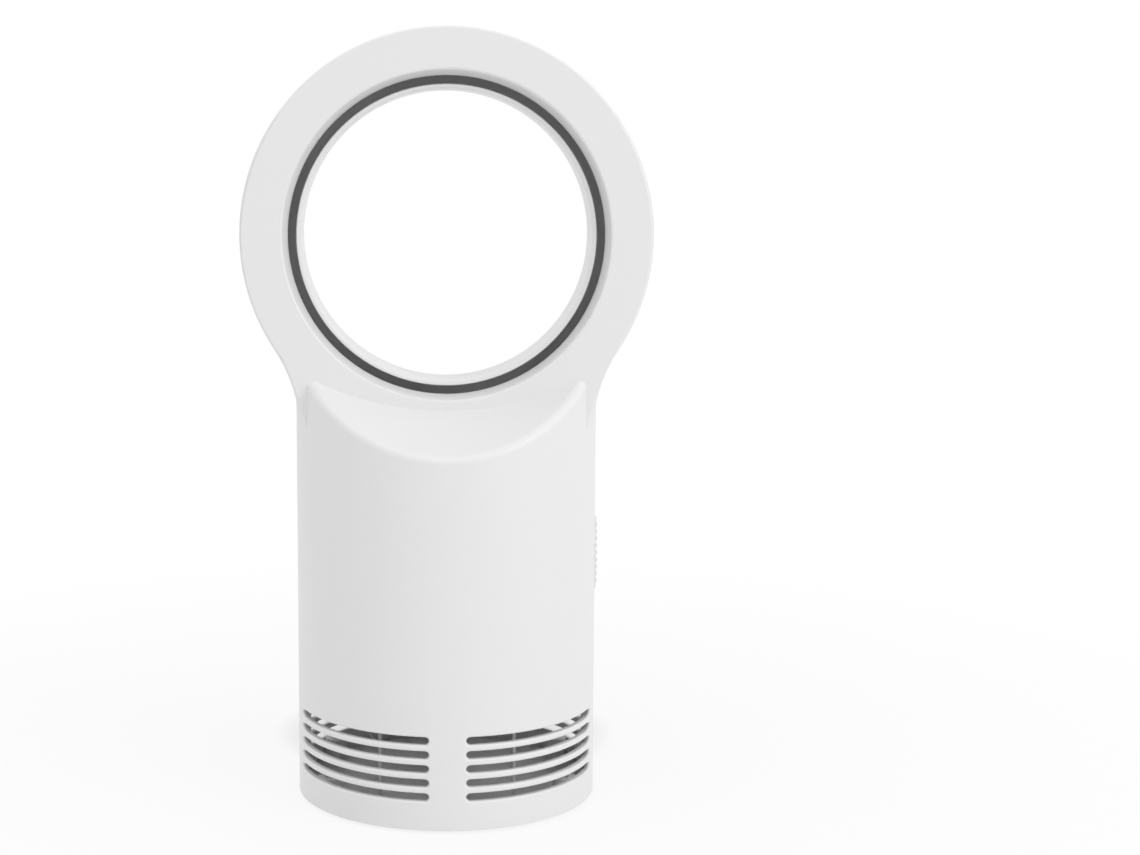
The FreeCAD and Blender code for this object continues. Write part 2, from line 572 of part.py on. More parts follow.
def motor_bracket():
    plate = rod("bracket_plate", "motor_radius + fit_gap + cup_wall", "plate_thick", z=bracket_low)
    cup = tube("bracket_cup", "motor_radius + fit_gap + cup_wall", "motor_radius + fit_gap", "cup_height",
               z=bracket_low)
    rim = tube("bracket_rim", "duct_radius - fit_gap", "duct_radius - fit_gap - bracket_ring", "vane_height",
               z=bracket_low)
    inner = size("motor_radius") + size("fit_gap") + size("cup_wall") / 2
    outer = size("duct_radius") - size("fit_gap") - size("bracket_ring") / 2
    low = size("partition_height") + size("bracket_rise")

    def vane():
        corner = FreeCAD.Vector(inner, -size("vane_thick") / 2, low)
        return Part.makeBox(outer - inner, size("vane_thick"), size("cup_height"), corner)

    holes = [rod("nose_hole", "nose_radius + fit_gap", "plate_thick", z=bracket_low)]
    holes += [rod(f"bracket_hole_{number}", "shank_radius + fit_gap", "plate_thick",
                  f"{side} * motor_screw_circle", 0, bracket_low) for number, side in enumerate((-1, 1))]
    vanes = spaced("vane", counts["vane_count"], vane)
    return cut("motor_bracket", fuse("bracket_joined", plate, cup, rim, *vanes), *holes)


def motor_screws():
    places = [(f"{side} * motor_screw_circle", 0, bracket_low) for side in (-1, 1)]
    return screws("motor_screws", places, "Z", "head_radius", "head_height - head_room", "shank_radius",
                  "plate_thick + can_wall", -1)


def motor_can():
    body = cut("can_shell", rod("can_round", "motor_radius", "motor_height - cap_thick", z=motor_low),
               rod("can_hollow", "motor_radius - can_wall", "motor_height", z=f"{motor_low} + can_wall"))
    nose = rod("can_nose", "nose_radius", "nose_height + can_wall", z=f"{motor_low} - nose_height")
    seat = rod("can_seat", "bearing_radius", "bearing_length", z=f"{motor_low} - nose_height + can_wall")
    bore = rod("can_bore", "shaft_radius + fit_gap", "motor_height", z=f"{motor_low} - nose_height")
    holes = [rod(f"can_hole_{number}", "shank_radius + thread_gap", "can_wall",
                 f"{side} * motor_screw_circle", 0, motor_low) for number, side in enumerate((-1, 1))]
    return cut("motor_can", fuse("can_joined", body, nose), seat, bore, *holes)


def motor_end_cap():
    disc = rod("cap_disc", "motor_radius", "cap_thick", z=f"{motor_top} - cap_thick")
    plug = rod("cap_plug", "motor_radius - can_wall - fit_gap / 2", "cap_plug",
               z=f"{motor_top} - cap_thick - cap_plug")
    seat = rod("cap_seat", "bearing_radius", "bearing_length", z=f"{motor_top} - cap_thick - cap_plug")
    return cut("motor_end_cap", fuse("cap_joined", disc, plug), seat)


def motor_bearings():
    lows = (f"{motor_low} - nose_height + can_wall", f"{motor_top} - cap_thick - cap_plug")
    bushes = [tube(f"bearing_{number}", "bearing_radius - fit_gap / 4", "shaft_radius + running_gap",
                   "bearing_length", z=low) for number, low in enumerate(lows)]
    return group("motor_bearings", bushes)


def motor_magnets():
    magnets = []
    outer, low = "motor_radius - can_wall", f"{motor_low} + core_rise - (magnet_length - core_length) / 2"
    for number in range(2):
        arcs = []
        for part_name, radius in (("round", f"{outer} - fit_gap / 4"), ("bore", f"{outer} - magnet_thick")):
            arc = rod(f"magnet_{part_name}_{number}", radius, "magnet_length", z=low)
            bind(arc, Angle="magnet_angle")
            arc.setExpression("Placement.Rotation.Angle", spell(f"{number * 180} + (180 - magnet_angle) / 2"))
            arcs.append(arc)
        magnets.append(cut(f"magnet_{number}", *arcs))
    return group("motor_magnets", magnets)


def motor_rotor():
    low = f"({motor_low} + core_rise)"
    core = tube("core_hub", "core_hub", "shaft_radius + thread_gap", "core_length", z=low)
    radius = size("motor_radius") - size("can_wall") - size("magnet_thick") - size("air_gap")
    base = size("partition_height") + size("bracket_rise") + size("plate_thick") + size("core_rise")
    shoe = radius - size("pole_shoe")

    foot, up = FreeCAD.Vector(0, 0, base), FreeCAD.Vector(0, 0, 1)

    def pole():
        sunk = size("core_hub") - size("can_wall")
        web = Part.makeBox(shoe + size("pole_shoe") / 2 - sunk, size("pole_width"), size("core_length"),
                           FreeCAD.Vector(sunk, -size("pole_width") / 2, base))
        head = Part.makeCylinder(radius, size("core_length"), foot, up, size("pole_angle"))
        head = head.cut(Part.makeCylinder(shoe, size("core_length"), foot))
        head.rotate(FreeCAD.Vector(), up, -size("pole_angle") / 2)
        return web.fuse(head)

    commutator = tube("commutator", "commutator_radius", "shaft_radius + thread_gap",
                      "commutator_length + coil_overhang + fit_gap", z=f"{low} + core_length")
    return fuse("motor_rotor", core, *spaced("pole", counts["pole_count"], pole), commutator)


def motor_windings():
    inner = size("core_hub") + size("coil_width") / 2
    outer = size("motor_radius") - size("can_wall") - size("magnet_thick") - size("air_gap")
    outer -= size("pole_shoe") + size("fit_gap") * 2
    base = size("partition_height") + size("bracket_rise") + size("plate_thick") + size("core_rise")
    gap, wide, over = size("fit_gap") / 2, size("coil_width"), size("coil_overhang")
    web, tall = size("pole_width") / 2 + gap, size("core_length")
    share_angle = 360 / counts["pole_count"] - size("coil_width")
    up = FreeCAD.Vector(0, 0, 1)

    def coil():
        loop = Part.makeBox(outer - inner, 2 * (web + wide), tall + 2 * over,
                            FreeCAD.Vector(inner, -web - wide, base - over))
        eye = Part.makeBox(outer - inner, 2 * web, tall + 2 * gap, FreeCAD.Vector(inner, -web, base - gap))
        wedge = Part.makeCylinder(outer, tall + 2 * over, FreeCAD.Vector(0, 0, base - over), up, share_angle)
        wedge.rotate(FreeCAD.Vector(), up, -share_angle / 2)
        return loop.cut(eye).common(wedge)

    return group("motor_windings", spaced("coil", counts["pole_count"], coil))


def motor_shaft():
    low = f"{hub_low} + hub_wall"
    high = f"{motor_top} - cap_thick - cap_plug + bearing_length - fit_gap"
    return rod("motor_shaft", "shaft_radius", f"{high} - ({low})", z=low)


board_low = f"({motor_top} + board_stand)"


def rectifier_board():
    disc = tube("board_disc", "board_radius", "board_hole", "board_thick", z=board_low)
    studs = []
    for number, angle in enumerate(quarter_angles):
        x, y = on_circle("board_radius - diode_radius * 2", angle, 0)
        studs.append(rod(f"board_stud_{number}", "diode_radius", "board_stand", x, y, motor_top))
    return fuse("rectifier_board", disc, *studs)


def rectifier_diodes():
    diodes = []
    for number, side in enumerate((-1, 1)):
        for row, shift in enumerate((-1, 1)):
            diodes.append(rod(f"diode_{number}_{row}", "diode_radius", "diode_length", f"{side} * diode_circle",
                              f"{shift} * diode_length * {diode_row_share} - diode_length / 2",
                              f"{board_low} + board_thick + diode_radius", "Y"))
    return group("rectifier_diodes", diodes)


# Heating block

core_low = f"({duct_top} + core_seat)"


def heater_frame():
    body = rod("frame_round", "duct_radius + duct_wall", "heater_height", z=duct_top)
    flange = rod("frame_flange", flange_radius, "flange_thick", z=heater_top)
    pocket = block("frame_pocket", "core_width + 2 * core_gap", "core_depth + 2 * core_gap", "heater_height",
                   0, "-core_depth / 2 - core_gap", core_low)
    throat = block("frame_throat", "core_width - 2 * core_lip", "core_depth - 2 * core_lip", "heater_height",
                   0, "core_lip - core_depth / 2", duct_top)
    holes = riser_holes("frame", heater_top)
    return cut("heater_frame", fuse("frame_joined", body, flange), pocket, throat, *holes)


fin_depth = "((core_depth - 2 * bar_thick) / 3)"


def ptc_bars():
    fronts = (f"{fin_depth} - core_depth / 2", f"core_depth / 2 - {fin_depth} - bar_thick")
    bars = [block(f"bar_{number}", "core_width", "bar_thick", "core_height", 0, front, core_low)
            for number, front in enumerate(fronts)]
    return group("ptc_bars", bars)


def heater_fins():
    # each fin is one folded strip that runs to and fro between the bars
    depth = (size("core_depth") - 2 * size("bar_thick")) / 3
    sheet_thick, pitch = size("fin_sheet"), size("fin_pitch")
    folds = int(size("core_width") // pitch)
    start = -folds * pitch / 2
    low = size("partition_height") + size("duct_length") + size("core_seat")
    fins = []
    for index in range(3):
        front = index * (depth + size("bar_thick")) - size("core_depth") / 2
        there, back = [], []
        for fold in range(folds):
            left, right = start + fold * pitch, start + (fold + 1) * pitch
            level = front if fold % 2 == 0 else front + depth - sheet_thick
            shift = sheet_thick if fold % 2 == 0 else -sheet_thick
            there += [(left, level), (right, level)]
            back.append((left + shift if fold else left, level + sheet_thick))
            back.append((right - shift if fold < folds - 1 else right, level + sheet_thick))
        ring = there + back[::-1]
        points = [FreeCAD.Vector(x, y, low) for x, y in ring]
        strip = Part.Face(Part.makePolygon(points + points[:1]))
        fins.append(feature(f"fin_{index}", strip.extrude(FreeCAD.Vector(0, 0, size("core_height")))))
    return group("heater_fins", fins)


def heater_terminals():
    blades = []
    for number, row in enumerate((-1, 1)):
        for end, side in enumerate((-1, 1)):
            blades.append(block(f"terminal_{number}_{end}", "blade_width", "blade_sheet", "blade_height",
                                f"{side} * (core_width / 2 - blade_inset)",
                                f"{row} * (core_depth / 2 - {fin_depth} - bar_thick / 2) - blade_sheet / 2",
                                f"{core_low} + core_height"))
    return group("heater_terminals", blades)


def thermostat():
    low = f"({heater_top} + flange_thick)"
    body = rod("thermostat_case", "thermostat_radius", "thermostat_height", 0, "thermostat_back", low)
    cap = rod("thermostat_cap", "thermostat_cap", "thermostat_height / 4", 0, "thermostat_back",
              f"{low} + thermostat_height")
    tabs = [block(f"thermostat_tab_{number}", "blade_sheet", "blade_width", "blade_height / 2",
                  f"{side} * thermostat_cap * {tab_spread_share}", "thermostat_back - blade_width / 2",
                  f"{low} + thermostat_height * {tab_foot_share}") for number, side in enumerate((-1, 1))]
    return fuse("thermostat", body, cap, *tabs)


def thermal_fuse():
    height = f"{heater_top} + flange_thick + fuse_radius"
    body = rod("fuse_body", "fuse_radius", "fuse_length", "-fuse_length / 2", "-fuse_front", height, "X")
    pin = rod("fuse_lead", "fuse_lead", "fuse_length + 2 * fuse_lead_length",
              "-fuse_length / 2 - fuse_lead_length", "-fuse_front", height, "X")
    return fuse("thermal_fuse", body, pin)


# Thumb switch

cap_inner = "(body_radius + cap_gap)"
cap_outer = "(body_radius + cap_proud)"


def switch_slider():
    shell = tube("slider_shell", cap_outer, cap_inner, "cap_length", z="switch_height - cap_length / 2")
    ribs = [tube(f"slider_rib_{index}", f"{cap_outer} + rib_proud", cap_inner, "rib_width",
                 z=f"switch_height + {index - (counts['rib_count'] - 1) / 2} * rib_pitch - rib_width / 2")
            for index in range(counts["rib_count"])]
    strip = block("slider_strip", "body_radius", "cap_width", "total_height", "body_radius",
                  "switch_side - cap_width / 2")
    cap = common("slider_cap", fuse("slider_ribbed", shell, *ribs), strip)
    root = f"({switch_back} + switch_wall + stem_plunge)"
    stem = block("slider_stem", f"{cap_outer} - {root}", "stem_width", "stem_length",
                 f"({cap_outer} + {root}) / 2", "switch_side - stem_width / 2",
                 "switch_height - stem_length / 2")
    neck = common("slider_neck", stem, rod("slider_reach", f"{cap_outer} - cap_gap", "total_height"))
    return fuse("switch_slider", cap, neck)


carriage_wide = "(switch_wide - 2 * switch_wall - 2 * fit_gap)"


def switch_carriage():
    low = f"({switch_back} + switch_wall + fit_gap)"
    deep = "(switch_deep - switch_wall - 2 * fit_gap)"
    body = block("carriage_block", deep, carriage_wide, "carriage_length", f"{low} + {deep} / 2",
                 f"switch_side - {carriage_wide} / 2", "switch_height - carriage_length / 2")
    pocket = block("carriage_pocket", deep, "stem_width + fit_gap", "stem_length + fit_gap",
                   f"{switch_back} + switch_wall + stem_plunge - fit_gap + {deep} / 2",
                   "switch_side - stem_width / 2 - fit_gap / 2",
                   "switch_height - stem_length / 2 - fit_gap / 2")
    return cut("switch_carriage", body, pocket)


def switch_body():
    middle = f"{switch_back} + switch_deep / 2"
    case = block("switch_case", "switch_deep", "switch_wide", "switch_tall", middle,
                 "switch_side - switch_wide / 2", "switch_height - switch_tall / 2")
    room = block("switch_room", "switch_deep", "switch_wide - 2 * switch_wall",
                 "carriage_length + 2 * switch_travel + 2 * fit_gap", f"{middle} + switch_wall",
                 "switch_side - switch_wide / 2 + switch_wall",
                 "switch_height - carriage_length / 2 - switch_travel - fit_gap")
    ears = block("switch_ears", "ear_thick", "switch_wide - 2 * switch_wall",
                 "switch_tall + 2 * ear_length", f"{inner_radius} - switch_stand - ear_thick / 2",
                 "switch_side - switch_wide / 2 + switch_wall",
                 "switch_height - switch_tall / 2 - ear_length")
    holes = [rod(f"ear_hole_{number}", "small_shank_radius + fit_gap", "ear_thick",
                 f"{inner_radius} - switch_stand - ear_thick", "switch_side", height, "X")
             for number, height in enumerate(ear_heights)]
    pins = [block(f"switch_pin_{index}", "switch_wall * 2", "blade_sheet", "blade_width / 2",
                  f"{switch_back} - switch_wall * {pin_sunk_share}", "switch_side - blade_sheet / 2",
                  f"switch_height + {index - 1} * switch_travel * {pin_share} - blade_width / 4")
            for index in range(3)]
    return cut("switch_body", fuse("switch_joined", case, ears, *pins), room, *holes)


def switch_screws():
    places = [(f"{inner_radius} - switch_stand - ear_thick", "switch_side", height) for height in ear_heights]
    return screws("switch_screws", places, "X", "small_head_radius", "small_head_height", "small_shank_radius",
                  "ear_thick + wall - fit_gap", -1)


# Tip-over switch

collar_low = f"({base_top} + sleeve_foot + plunger_travel + plunger_clear)"


def tip_over_housing():
    sleeve = rod("sleeve_round", "sleeve_radius", "sleeve_height", z=base_top)
    hollow = rod("sleeve_hollow", "sleeve_radius - sleeve_wall", "sleeve_height - sleeve_foot - sleeve_roof",
                 z=f"{base_top} + sleeve_foot")
    bore = rod("sleeve_bore", "plunger_radius + plunger_gap", "sleeve_height", z=base_top)
    cheeks = [block(f"cheek_{number}", "cheek_thick", "micro_length",
                    "sleeve_roof + micro_stand + micro_height",
                    f"{side} * (micro_width + cheek_thick + fit_gap) / 2", "-micro_length / 2",
                    f"{sleeve_top} - sleeve_roof") for number, side in enumerate((-1, 1))]
    saddle = block("cheek_saddle", "micro_width + 2 * cheek_thick", "micro_length", "sleeve_roof",
                   0, "-micro_length / 2", f"{sleeve_top} - sleeve_roof")
    return cut("tip_over_housing", fuse("sleeve_joined", sleeve, saddle, *cheeks), hollow, bore)


def tip_over_plunger():
    rise = rod("plunger_rod", "plunger_radius", f"{sleeve_top} - plunger_clear", z="plunger_clear")
    collar = rod("plunger_collar", "collar_radius", "collar_thick", z=collar_low)
    return fuse("tip_over_plunger", rise, collar)


def biarc(first, heading, last, ending):
    # two arcs that leave first along heading and reach last along ending
    chord = last - first
    turn = heading.dot(ending)
    ahead = chord.dot(heading + ending)
    reach = (-ahead + math.sqrt(ahead ** 2 + 2 * (1 - turn) * chord.dot(chord))) / (2 * (1 - turn))
    joint = (first + heading * reach + last - ending * reach) * 0.5
    arcs = []
    for start, corner, stop in ((first, first + heading * reach, joint), (joint, last - ending * reach, last)):
        middle = (start + stop) * 0.5
        sag = corner - middle
        half = (stop - start).Length / 2
        height = sag.Length
        crown = math.hypot(half, height)
        arcs.append(Part.Arc(start, middle + sag * (half / (half + crown)), stop).toShape())
    return arcs


def tip_over_spring():
    base = size("foot_proud") + size("base_thick")
    low = base + size("sleeve_foot") + size("plunger_travel") + size("plunger_clear") + size("collar_thick")
    high = base + size("sleeve_height") - size("sleeve_roof")
    radius, wire = size("spring_radius"), size("spring_wire")
    bottom = low + wire / 2 + size("thread_gap")
    rise = high - low - wire - 2 * size("thread_gap")
    turns = counts["spring_turns"]

    climb = rise / (2 * math.pi * turns)

    def spot(angle):
        return FreeCAD.Vector(radius * math.cos(angle), radius * math.sin(angle), bottom + climb * angle)

    def heading(angle):
        return FreeCAD.Vector(-radius * math.sin(angle), radius * math.cos(angle), climb).normalize()

    edges = []
    for step in range(4 * turns):
        first, last = step * math.pi / 2, (step + 1) * math.pi / 2
        edges += biarc(spot(first), heading(first), spot(last), heading(last))
    circle = Part.Wire(Part.makeCircle(wire / 2, spot(0), heading(0)))
    spring = Part.Wire(edges).makePipeShell([circle], True, False)
    print("spring gap between turns", round(rise / turns - wire, 3))
    return feature("tip_over_spring", spring)


def tip_over_microswitch():
    case = block("micro_case", "micro_width", "micro_length", "micro_height", 0, "-micro_length / 2", micro_low)
    button = rod("micro_button", "micro_button", "micro_button_rise", z=f"{micro_low} - micro_button_rise")
    tabs = [block(f"micro_tab_{index}", "micro_width / 2", "blade_sheet", "blade_width / 2", 0,
                  f"{index - 1} * micro_length * {micro_tab_share} - blade_sheet / 2",
                  f"{micro_low} + micro_height") for index in range(3)]
    return fuse("tip_over_microswitch", case, button, *tabs)


# Mains lead inlet and inner wiring

def cord_gland():
    face = "(body_radius - gland_inset)"
    seat = f"({inner_radius} - gland_flange_thick - wall / 2)"
    barrel = rod("gland_barrel", "gland_radius", f"{face} - ({seat} - gland_tail)", 0, f"{seat} - gland_tail",
                 "gland_height", "Y")
    flange = rod("gland_flange", "gland_flange", "gland_flange_thick", 0, seat, "gland_height", "Y")
    bore = rod("gland_bore", "lead_bore", "body_radius", 0, f"{seat} - gland_tail", "gland_height", "Y")
    return cut("cord_gland", fuse("gland_joined", barrel, flange), bore)


def terminal_block():
    front = "block_back - block_depth / 2"
    case = block("block_case", "block_width", "block_depth", "block_height", 0, front, base_top)
    holes = []
    for number, side in enumerate((-1, 1)):
        column = f"{side} * block_pitch / 2"
        holes.append(rod(f"block_hole_{number}", "block_hole", "block_depth", column, front,
                         f"{base_top} + block_height * {block_hole_share}", "Y"))
        holes.append(rod(f"block_screw_{number}", "block_screw", "block_height / 2", column, "block_back",
                         f"{base_top} + block_height / 2"))
    return cut("terminal_block", case, *holes)


def lead(points):
    # an insulated wire: straight runs joined by tangent arcs as large as the runs allow
    corners = [FreeCAD.Vector(*point) for point in points]
    edges, start = [], corners[0]
    for before, corner, after in zip(corners, corners[1:], corners[2:]):
        cut_back = lead_share * min((corner - before).Length, (after - corner).Length)
        first = corner + (before - corner).normalize() * cut_back
        last = corner + (after - corner).normalize() * cut_back
        middle = (first + last) * 0.5
        half = (last - first).Length / 2
        sag = corner - middle
        edges.append(Part.LineSegment(start, first).toShape())
        crown = middle + sag * (half / (half + math.hypot(half, sag.Length)))
        edges.append(Part.Arc(first, crown, last).toShape())
        start = last
    edges.append(Part.LineSegment(start, corners[-1]).toShape())
    section = Part.Wire(Part.makeCircle(size("wire_radius"), corners[0], corners[1] - corners[0]))
    return Part.Wire(edges).makePipeShell([section], True, False)


def wiring():
    base = size("foot_proud") + size("base_thick")
    block_z = base + block_hole_share * size("block_height")
    block_x, block_y, turn = size("block_pitch") / 2, size("block_back"), size("lead_turn")
    micro_z = base + size("sleeve_height") + size("micro_stand") + size("micro_height")
    tab_y = micro_tab_share * size("micro_length") + size("blade_sheet") / 2 + size("thread_gap")
    tab_z = micro_z + size("blade_width") / 4
    side, back = size("riser_side"), size("riser_back")
    pin_x = size("body_radius") - size("wall") - size("switch_stand")
    pin_x -= size("switch_deep") + size("switch_wall")
    pin_y = size("switch_side") + size("blade_sheet") / 2 + size("thread_gap")
    pin_z = size("switch_height")
    pin_step = pin_share * size("switch_travel")
    below = size("partition_height") - 2 * size("partition_thick")
    heat_z = size("partition_height") + size("duct_length") + size("heater_height") + size("flange_thick")
    blade_x = size("core_width") / 2 - size("blade_inset") + size("blade_width") / 2 + size("thread_gap")
    blade_y = (size("core_depth") - 2 * size("bar_thick")) / 6 + size("bar_thick") / 2
    blade_z = heat_z + 2 * size("wire_radius")
    crown_z = micro_z + size("blade_width") / 2 + size("thread_gap")
    low_z, high_z, over_z = pin_z - pin_step, pin_z + pin_step, heat_z + turn
    routes = (
        # live from the terminal block to the tip-over switch
        [(-block_x, block_y, block_z), (-block_x, block_y - turn, block_z),
         (0, block_y - turn, tab_z), (0, tab_y, tab_z)],
        # on from there to the thumb switch
        [(0, 0, crown_z), (0, 0, below), (side - turn, back - turn / 2, below), (side, back, below),
         (side, back, low_z - turn), (pin_x, pin_y + turn, low_z), (pin_x, pin_y, low_z)],
        # from the thumb switch to the heating block
        [(pin_x, pin_y, high_z), (pin_x, pin_y + turn, high_z), (side, back, high_z + turn),
         (side, back, over_z), (side, blade_y, blade_z + turn / 2), (side, blade_y, blade_z),
         (blade_x, blade_y, blade_z)],
        # neutral straight up to the heating block
        [(block_x, block_y, block_z), (block_x, block_y - turn, block_z), (-side, block_y - turn, block_z),
         (-side, back, block_z + turn), (-side, back, over_z), (-side, blade_y, blade_z + turn / 2),
         (-side, blade_y, blade_z), (-blade_x, blade_y, blade_z)],
    )
    return group("wiring", [feature(f"lead_{number}", lead(points)) for number, points in enumerate(routes)])


makers = (
    front_housing, rear_housing, nozzle_liner, base_plate, rubber_feet, base_screws, housing_screws,
    fan_duct, impeller, motor_bracket, motor_screws, motor_can, motor_end_cap, motor_bearings, motor_magnets,
    motor_rotor, motor_windings, motor_shaft, rectifier_board, rectifier_diodes,
    heater_frame, ptc_bars, heater_fins, heater_terminals, thermostat, thermal_fuse,
    switch_slider, switch_carriage, switch_body, switch_screws,
    tip_over_housing, tip_over_plunger, tip_over_spring, tip_over_microswitch,
    cord_gland, terminal_block, wiring,
)
pieces = {maker.__name__: maker() for maker in makers}
doc.recompute()

faults = [thing.Name for thing in doc.Objects if "Invalid" in thing.State or "Error" in thing.State]
for label, piece in pieces.items():
    piece.Label = label
    if piece.Shape.isNull() or not piece.Shape.isValid():
        faults.append(label)
if faults:
    raise SystemExit("not built: " + ", ".join(faults))

os.makedirs("parts", exist_ok=True)
for label, piece in pieces.items():
    piece.Shape.exportStep(f"parts/{label}.step")
    box = piece.Shape.BoundBox
    print(label, len(piece.Shape.Solids), round(piece.Shape.Volume, 1), [round(v, 2) for v in (
        box.XMin, box.XMax, box.YMin, box.YMax, box.ZMin, box.ZMax)])
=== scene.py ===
import bmesh
import bpy
import math
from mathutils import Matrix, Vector


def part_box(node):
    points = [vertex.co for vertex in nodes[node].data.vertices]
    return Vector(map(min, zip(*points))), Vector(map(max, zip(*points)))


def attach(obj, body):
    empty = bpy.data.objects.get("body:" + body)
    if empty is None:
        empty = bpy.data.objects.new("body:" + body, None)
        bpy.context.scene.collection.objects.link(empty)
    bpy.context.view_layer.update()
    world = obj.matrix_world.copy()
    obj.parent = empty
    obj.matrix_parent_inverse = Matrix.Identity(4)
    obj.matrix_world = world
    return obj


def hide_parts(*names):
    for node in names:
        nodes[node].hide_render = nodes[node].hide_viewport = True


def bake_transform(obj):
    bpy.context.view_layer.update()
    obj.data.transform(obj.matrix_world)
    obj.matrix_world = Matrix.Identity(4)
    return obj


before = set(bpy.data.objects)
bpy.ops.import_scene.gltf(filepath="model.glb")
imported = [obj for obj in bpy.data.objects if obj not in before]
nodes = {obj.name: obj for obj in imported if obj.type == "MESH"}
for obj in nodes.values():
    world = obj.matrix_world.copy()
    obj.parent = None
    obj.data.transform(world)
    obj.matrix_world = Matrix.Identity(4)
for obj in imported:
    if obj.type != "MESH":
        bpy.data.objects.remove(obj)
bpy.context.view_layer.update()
mm = 0.001
print("frame loaded:", len(nodes), "nodes")


# Small helpers for node trees

def setOrLink(tree, socket, value):
    if isinstance(value, bpy.types.NodeSocket):
        tree.links.new(value, socket)
    else:
        socket.default_value = value


def addNode(tree, kind, settings=None, **inputs):
    # Input names are given with _ for a space
    node = tree.nodes.new(kind)
    for label, value in (settings or {}).items():
        setattr(node, label, value)
    for label, value in inputs.items():
        setOrLink(tree, node.inputs[label.replace("_", " ")], value)
    return node


def mathNode(tree, operation, first, second=0.0):
    node = addNode(tree, "ShaderNodeMath", {"operation": operation})
    setOrLink(tree, node.inputs[0], first)
    setOrLink(tree, node.inputs[1], second)
    return node.outputs[0]


def noiseNode(tree, vector, scale, detail=2.0, roughness=0.5):
    node = addNode(tree, "ShaderNodeTexNoise", Vector=vector, Scale=scale, Detail=detail, Roughness=roughness)
    return node.outputs["Fac"]


def rangeNode(tree, value, fromLow, fromHigh, toLow, toHigh):
    node = addNode(tree, "ShaderNodeMapRange", Value=value, From_Min=fromLow, From_Max=fromHigh,
                   To_Min=toLow, To_Max=toHigh)
    return node.outputs["Result"]


def newTree(name, kind, inputs, outputs):
    tree = bpy.data.node_groups.new(name, kind)
    for label, socketKind, value in inputs:
        socket = tree.interface.new_socket(label, in_out="INPUT", socket_type=socketKind)
        if value is not None:
            socket.default_value = value
    for label, socketKind in outputs:
        tree.interface.new_socket(label, in_out="OUTPUT", socket_type=socketKind)
    return tree, tree.nodes.new("NodeGroupInput").outputs, tree.nodes.new("NodeGroupOutput").inputs


# Shader groups shared by the finishes

noiseSpan = (0.3, 0.7)  # the stretch of the noise that is spread over the gloss
noiseMiddle = 0.5
surfaceOutputs = [(label, "NodeSocketFloat") for label in ("Height", "Roughness", "Tone")]


def linkSurface(tree, source, sink, height, drift):
    gloss = rangeNode(tree, drift, *noiseSpan, source["Gloss Low"], source["Gloss High"])
    swing = mathNode(tree, "MULTIPLY", mathNode(tree, "SUBTRACT", drift, noiseMiddle), source["Tone Drift"])
    tree.links.new(height, sink["Height"])
    tree.links.new(gloss, sink["Roughness"])
    tree.links.new(mathNode(tree, "ADD", swing, 1.0), sink["Tone"])


def makeGrainGroup():
    # Fine spark-eroded grain over a slow drift of tone and gloss
    tree, source, sink = newTree(
        "mouldedGrain", "ShaderNodeTree",
        [("Grain Scale", "NodeSocketFloat", 2600.0), ("Drift Scale", "NodeSocketFloat", 24.0),
         ("Tone Drift", "NodeSocketFloat", 0.02), ("Gloss Low", "NodeSocketFloat", 0.36),
         ("Gloss High", "NodeSocketFloat", 0.46)],
        surfaceOutputs)
    place = tree.nodes.new("ShaderNodeTexCoord").outputs["Object"]
    grain = noiseNode(tree, place, source["Grain Scale"], detail=1.0)
    drift = noiseNode(tree, place, source["Drift Scale"], detail=3.0)
    linkSurface(tree, source, sink, grain, drift)
    return tree


def makeDrawnGroup():
    # Drawing and turning marks of bare metal: noise stretched along one axis
    tree, source, sink = newTree(
        "drawnMetal", "ShaderNodeTree",
        [("Stretch", "NodeSocketVector", (40.0, 40.0, 900.0)), ("Gloss Low", "NodeSocketFloat", 0.25),
         ("Gloss High", "NodeSocketFloat", 0.45), ("Tone Drift", "NodeSocketFloat", 0.12)],
        surfaceOutputs)
    place = tree.nodes.new("ShaderNodeTexCoord").outputs["Object"]
    stretch = addNode(tree, "ShaderNodeVectorMath", {"operation": "MULTIPLY"})
    tree.links.new(place, stretch.inputs[0])
    tree.links.new(source["Stretch"], stretch.inputs[1])
    marks = noiseNode(tree, stretch.outputs["Vector"], 1.0, detail=4.0, roughness=0.6)
    linkSurface(tree, source, sink, marks, marks)
    return tree


grainGroup = makeGrainGroup()
drawnGroup = makeDrawnGroup()


# Finishes, one for each material slot of the part

def makeFinish(name, group, values, colour, bump, metallic=0.0):
    material = bpy.data.materials.new(name)
    material.use_nodes = True
    tree = material.node_tree
    shader = tree.nodes["Principled BSDF"]
    shader.inputs["Metallic"].default_value = metallic
    effect = addNode(tree, "ShaderNodeGroup", {"node_tree": group})
    for label, value in values.items():
        effect.inputs[label].default_value = value
    tint = addNode(tree, "ShaderNodeMix", {"data_type": "RGBA", "blend_type": "MULTIPLY"})
    tint.inputs["Factor"].default_value = 1.0
    tint.inputs["A"].default_value = (*colour, 1.0)
    tree.links.new(effect.outputs["Tone"], tint.inputs["B"])
    tree.links.new(tint.outputs["Result"], shader.inputs["Base Color"])
    tree.links.new(effect.outputs["Roughness"], shader.inputs["Roughness"])
    relief = addNode(tree, "ShaderNodeBump", Strength=bump["strength"], Distance=bump["depth"],
                     Height=effect.outputs["Height"])
    tree.links.new(relief.outputs["Normal"], shader.inputs["Normal"])
    return material


smoothBump = {"strength": 0.10, "depth": 0.02 * mm}
coarseBump = {"strength": 0.5, "depth": 0.05 * mm}
metalBump = {"strength": 0.25, "depth": 0.02 * mm}

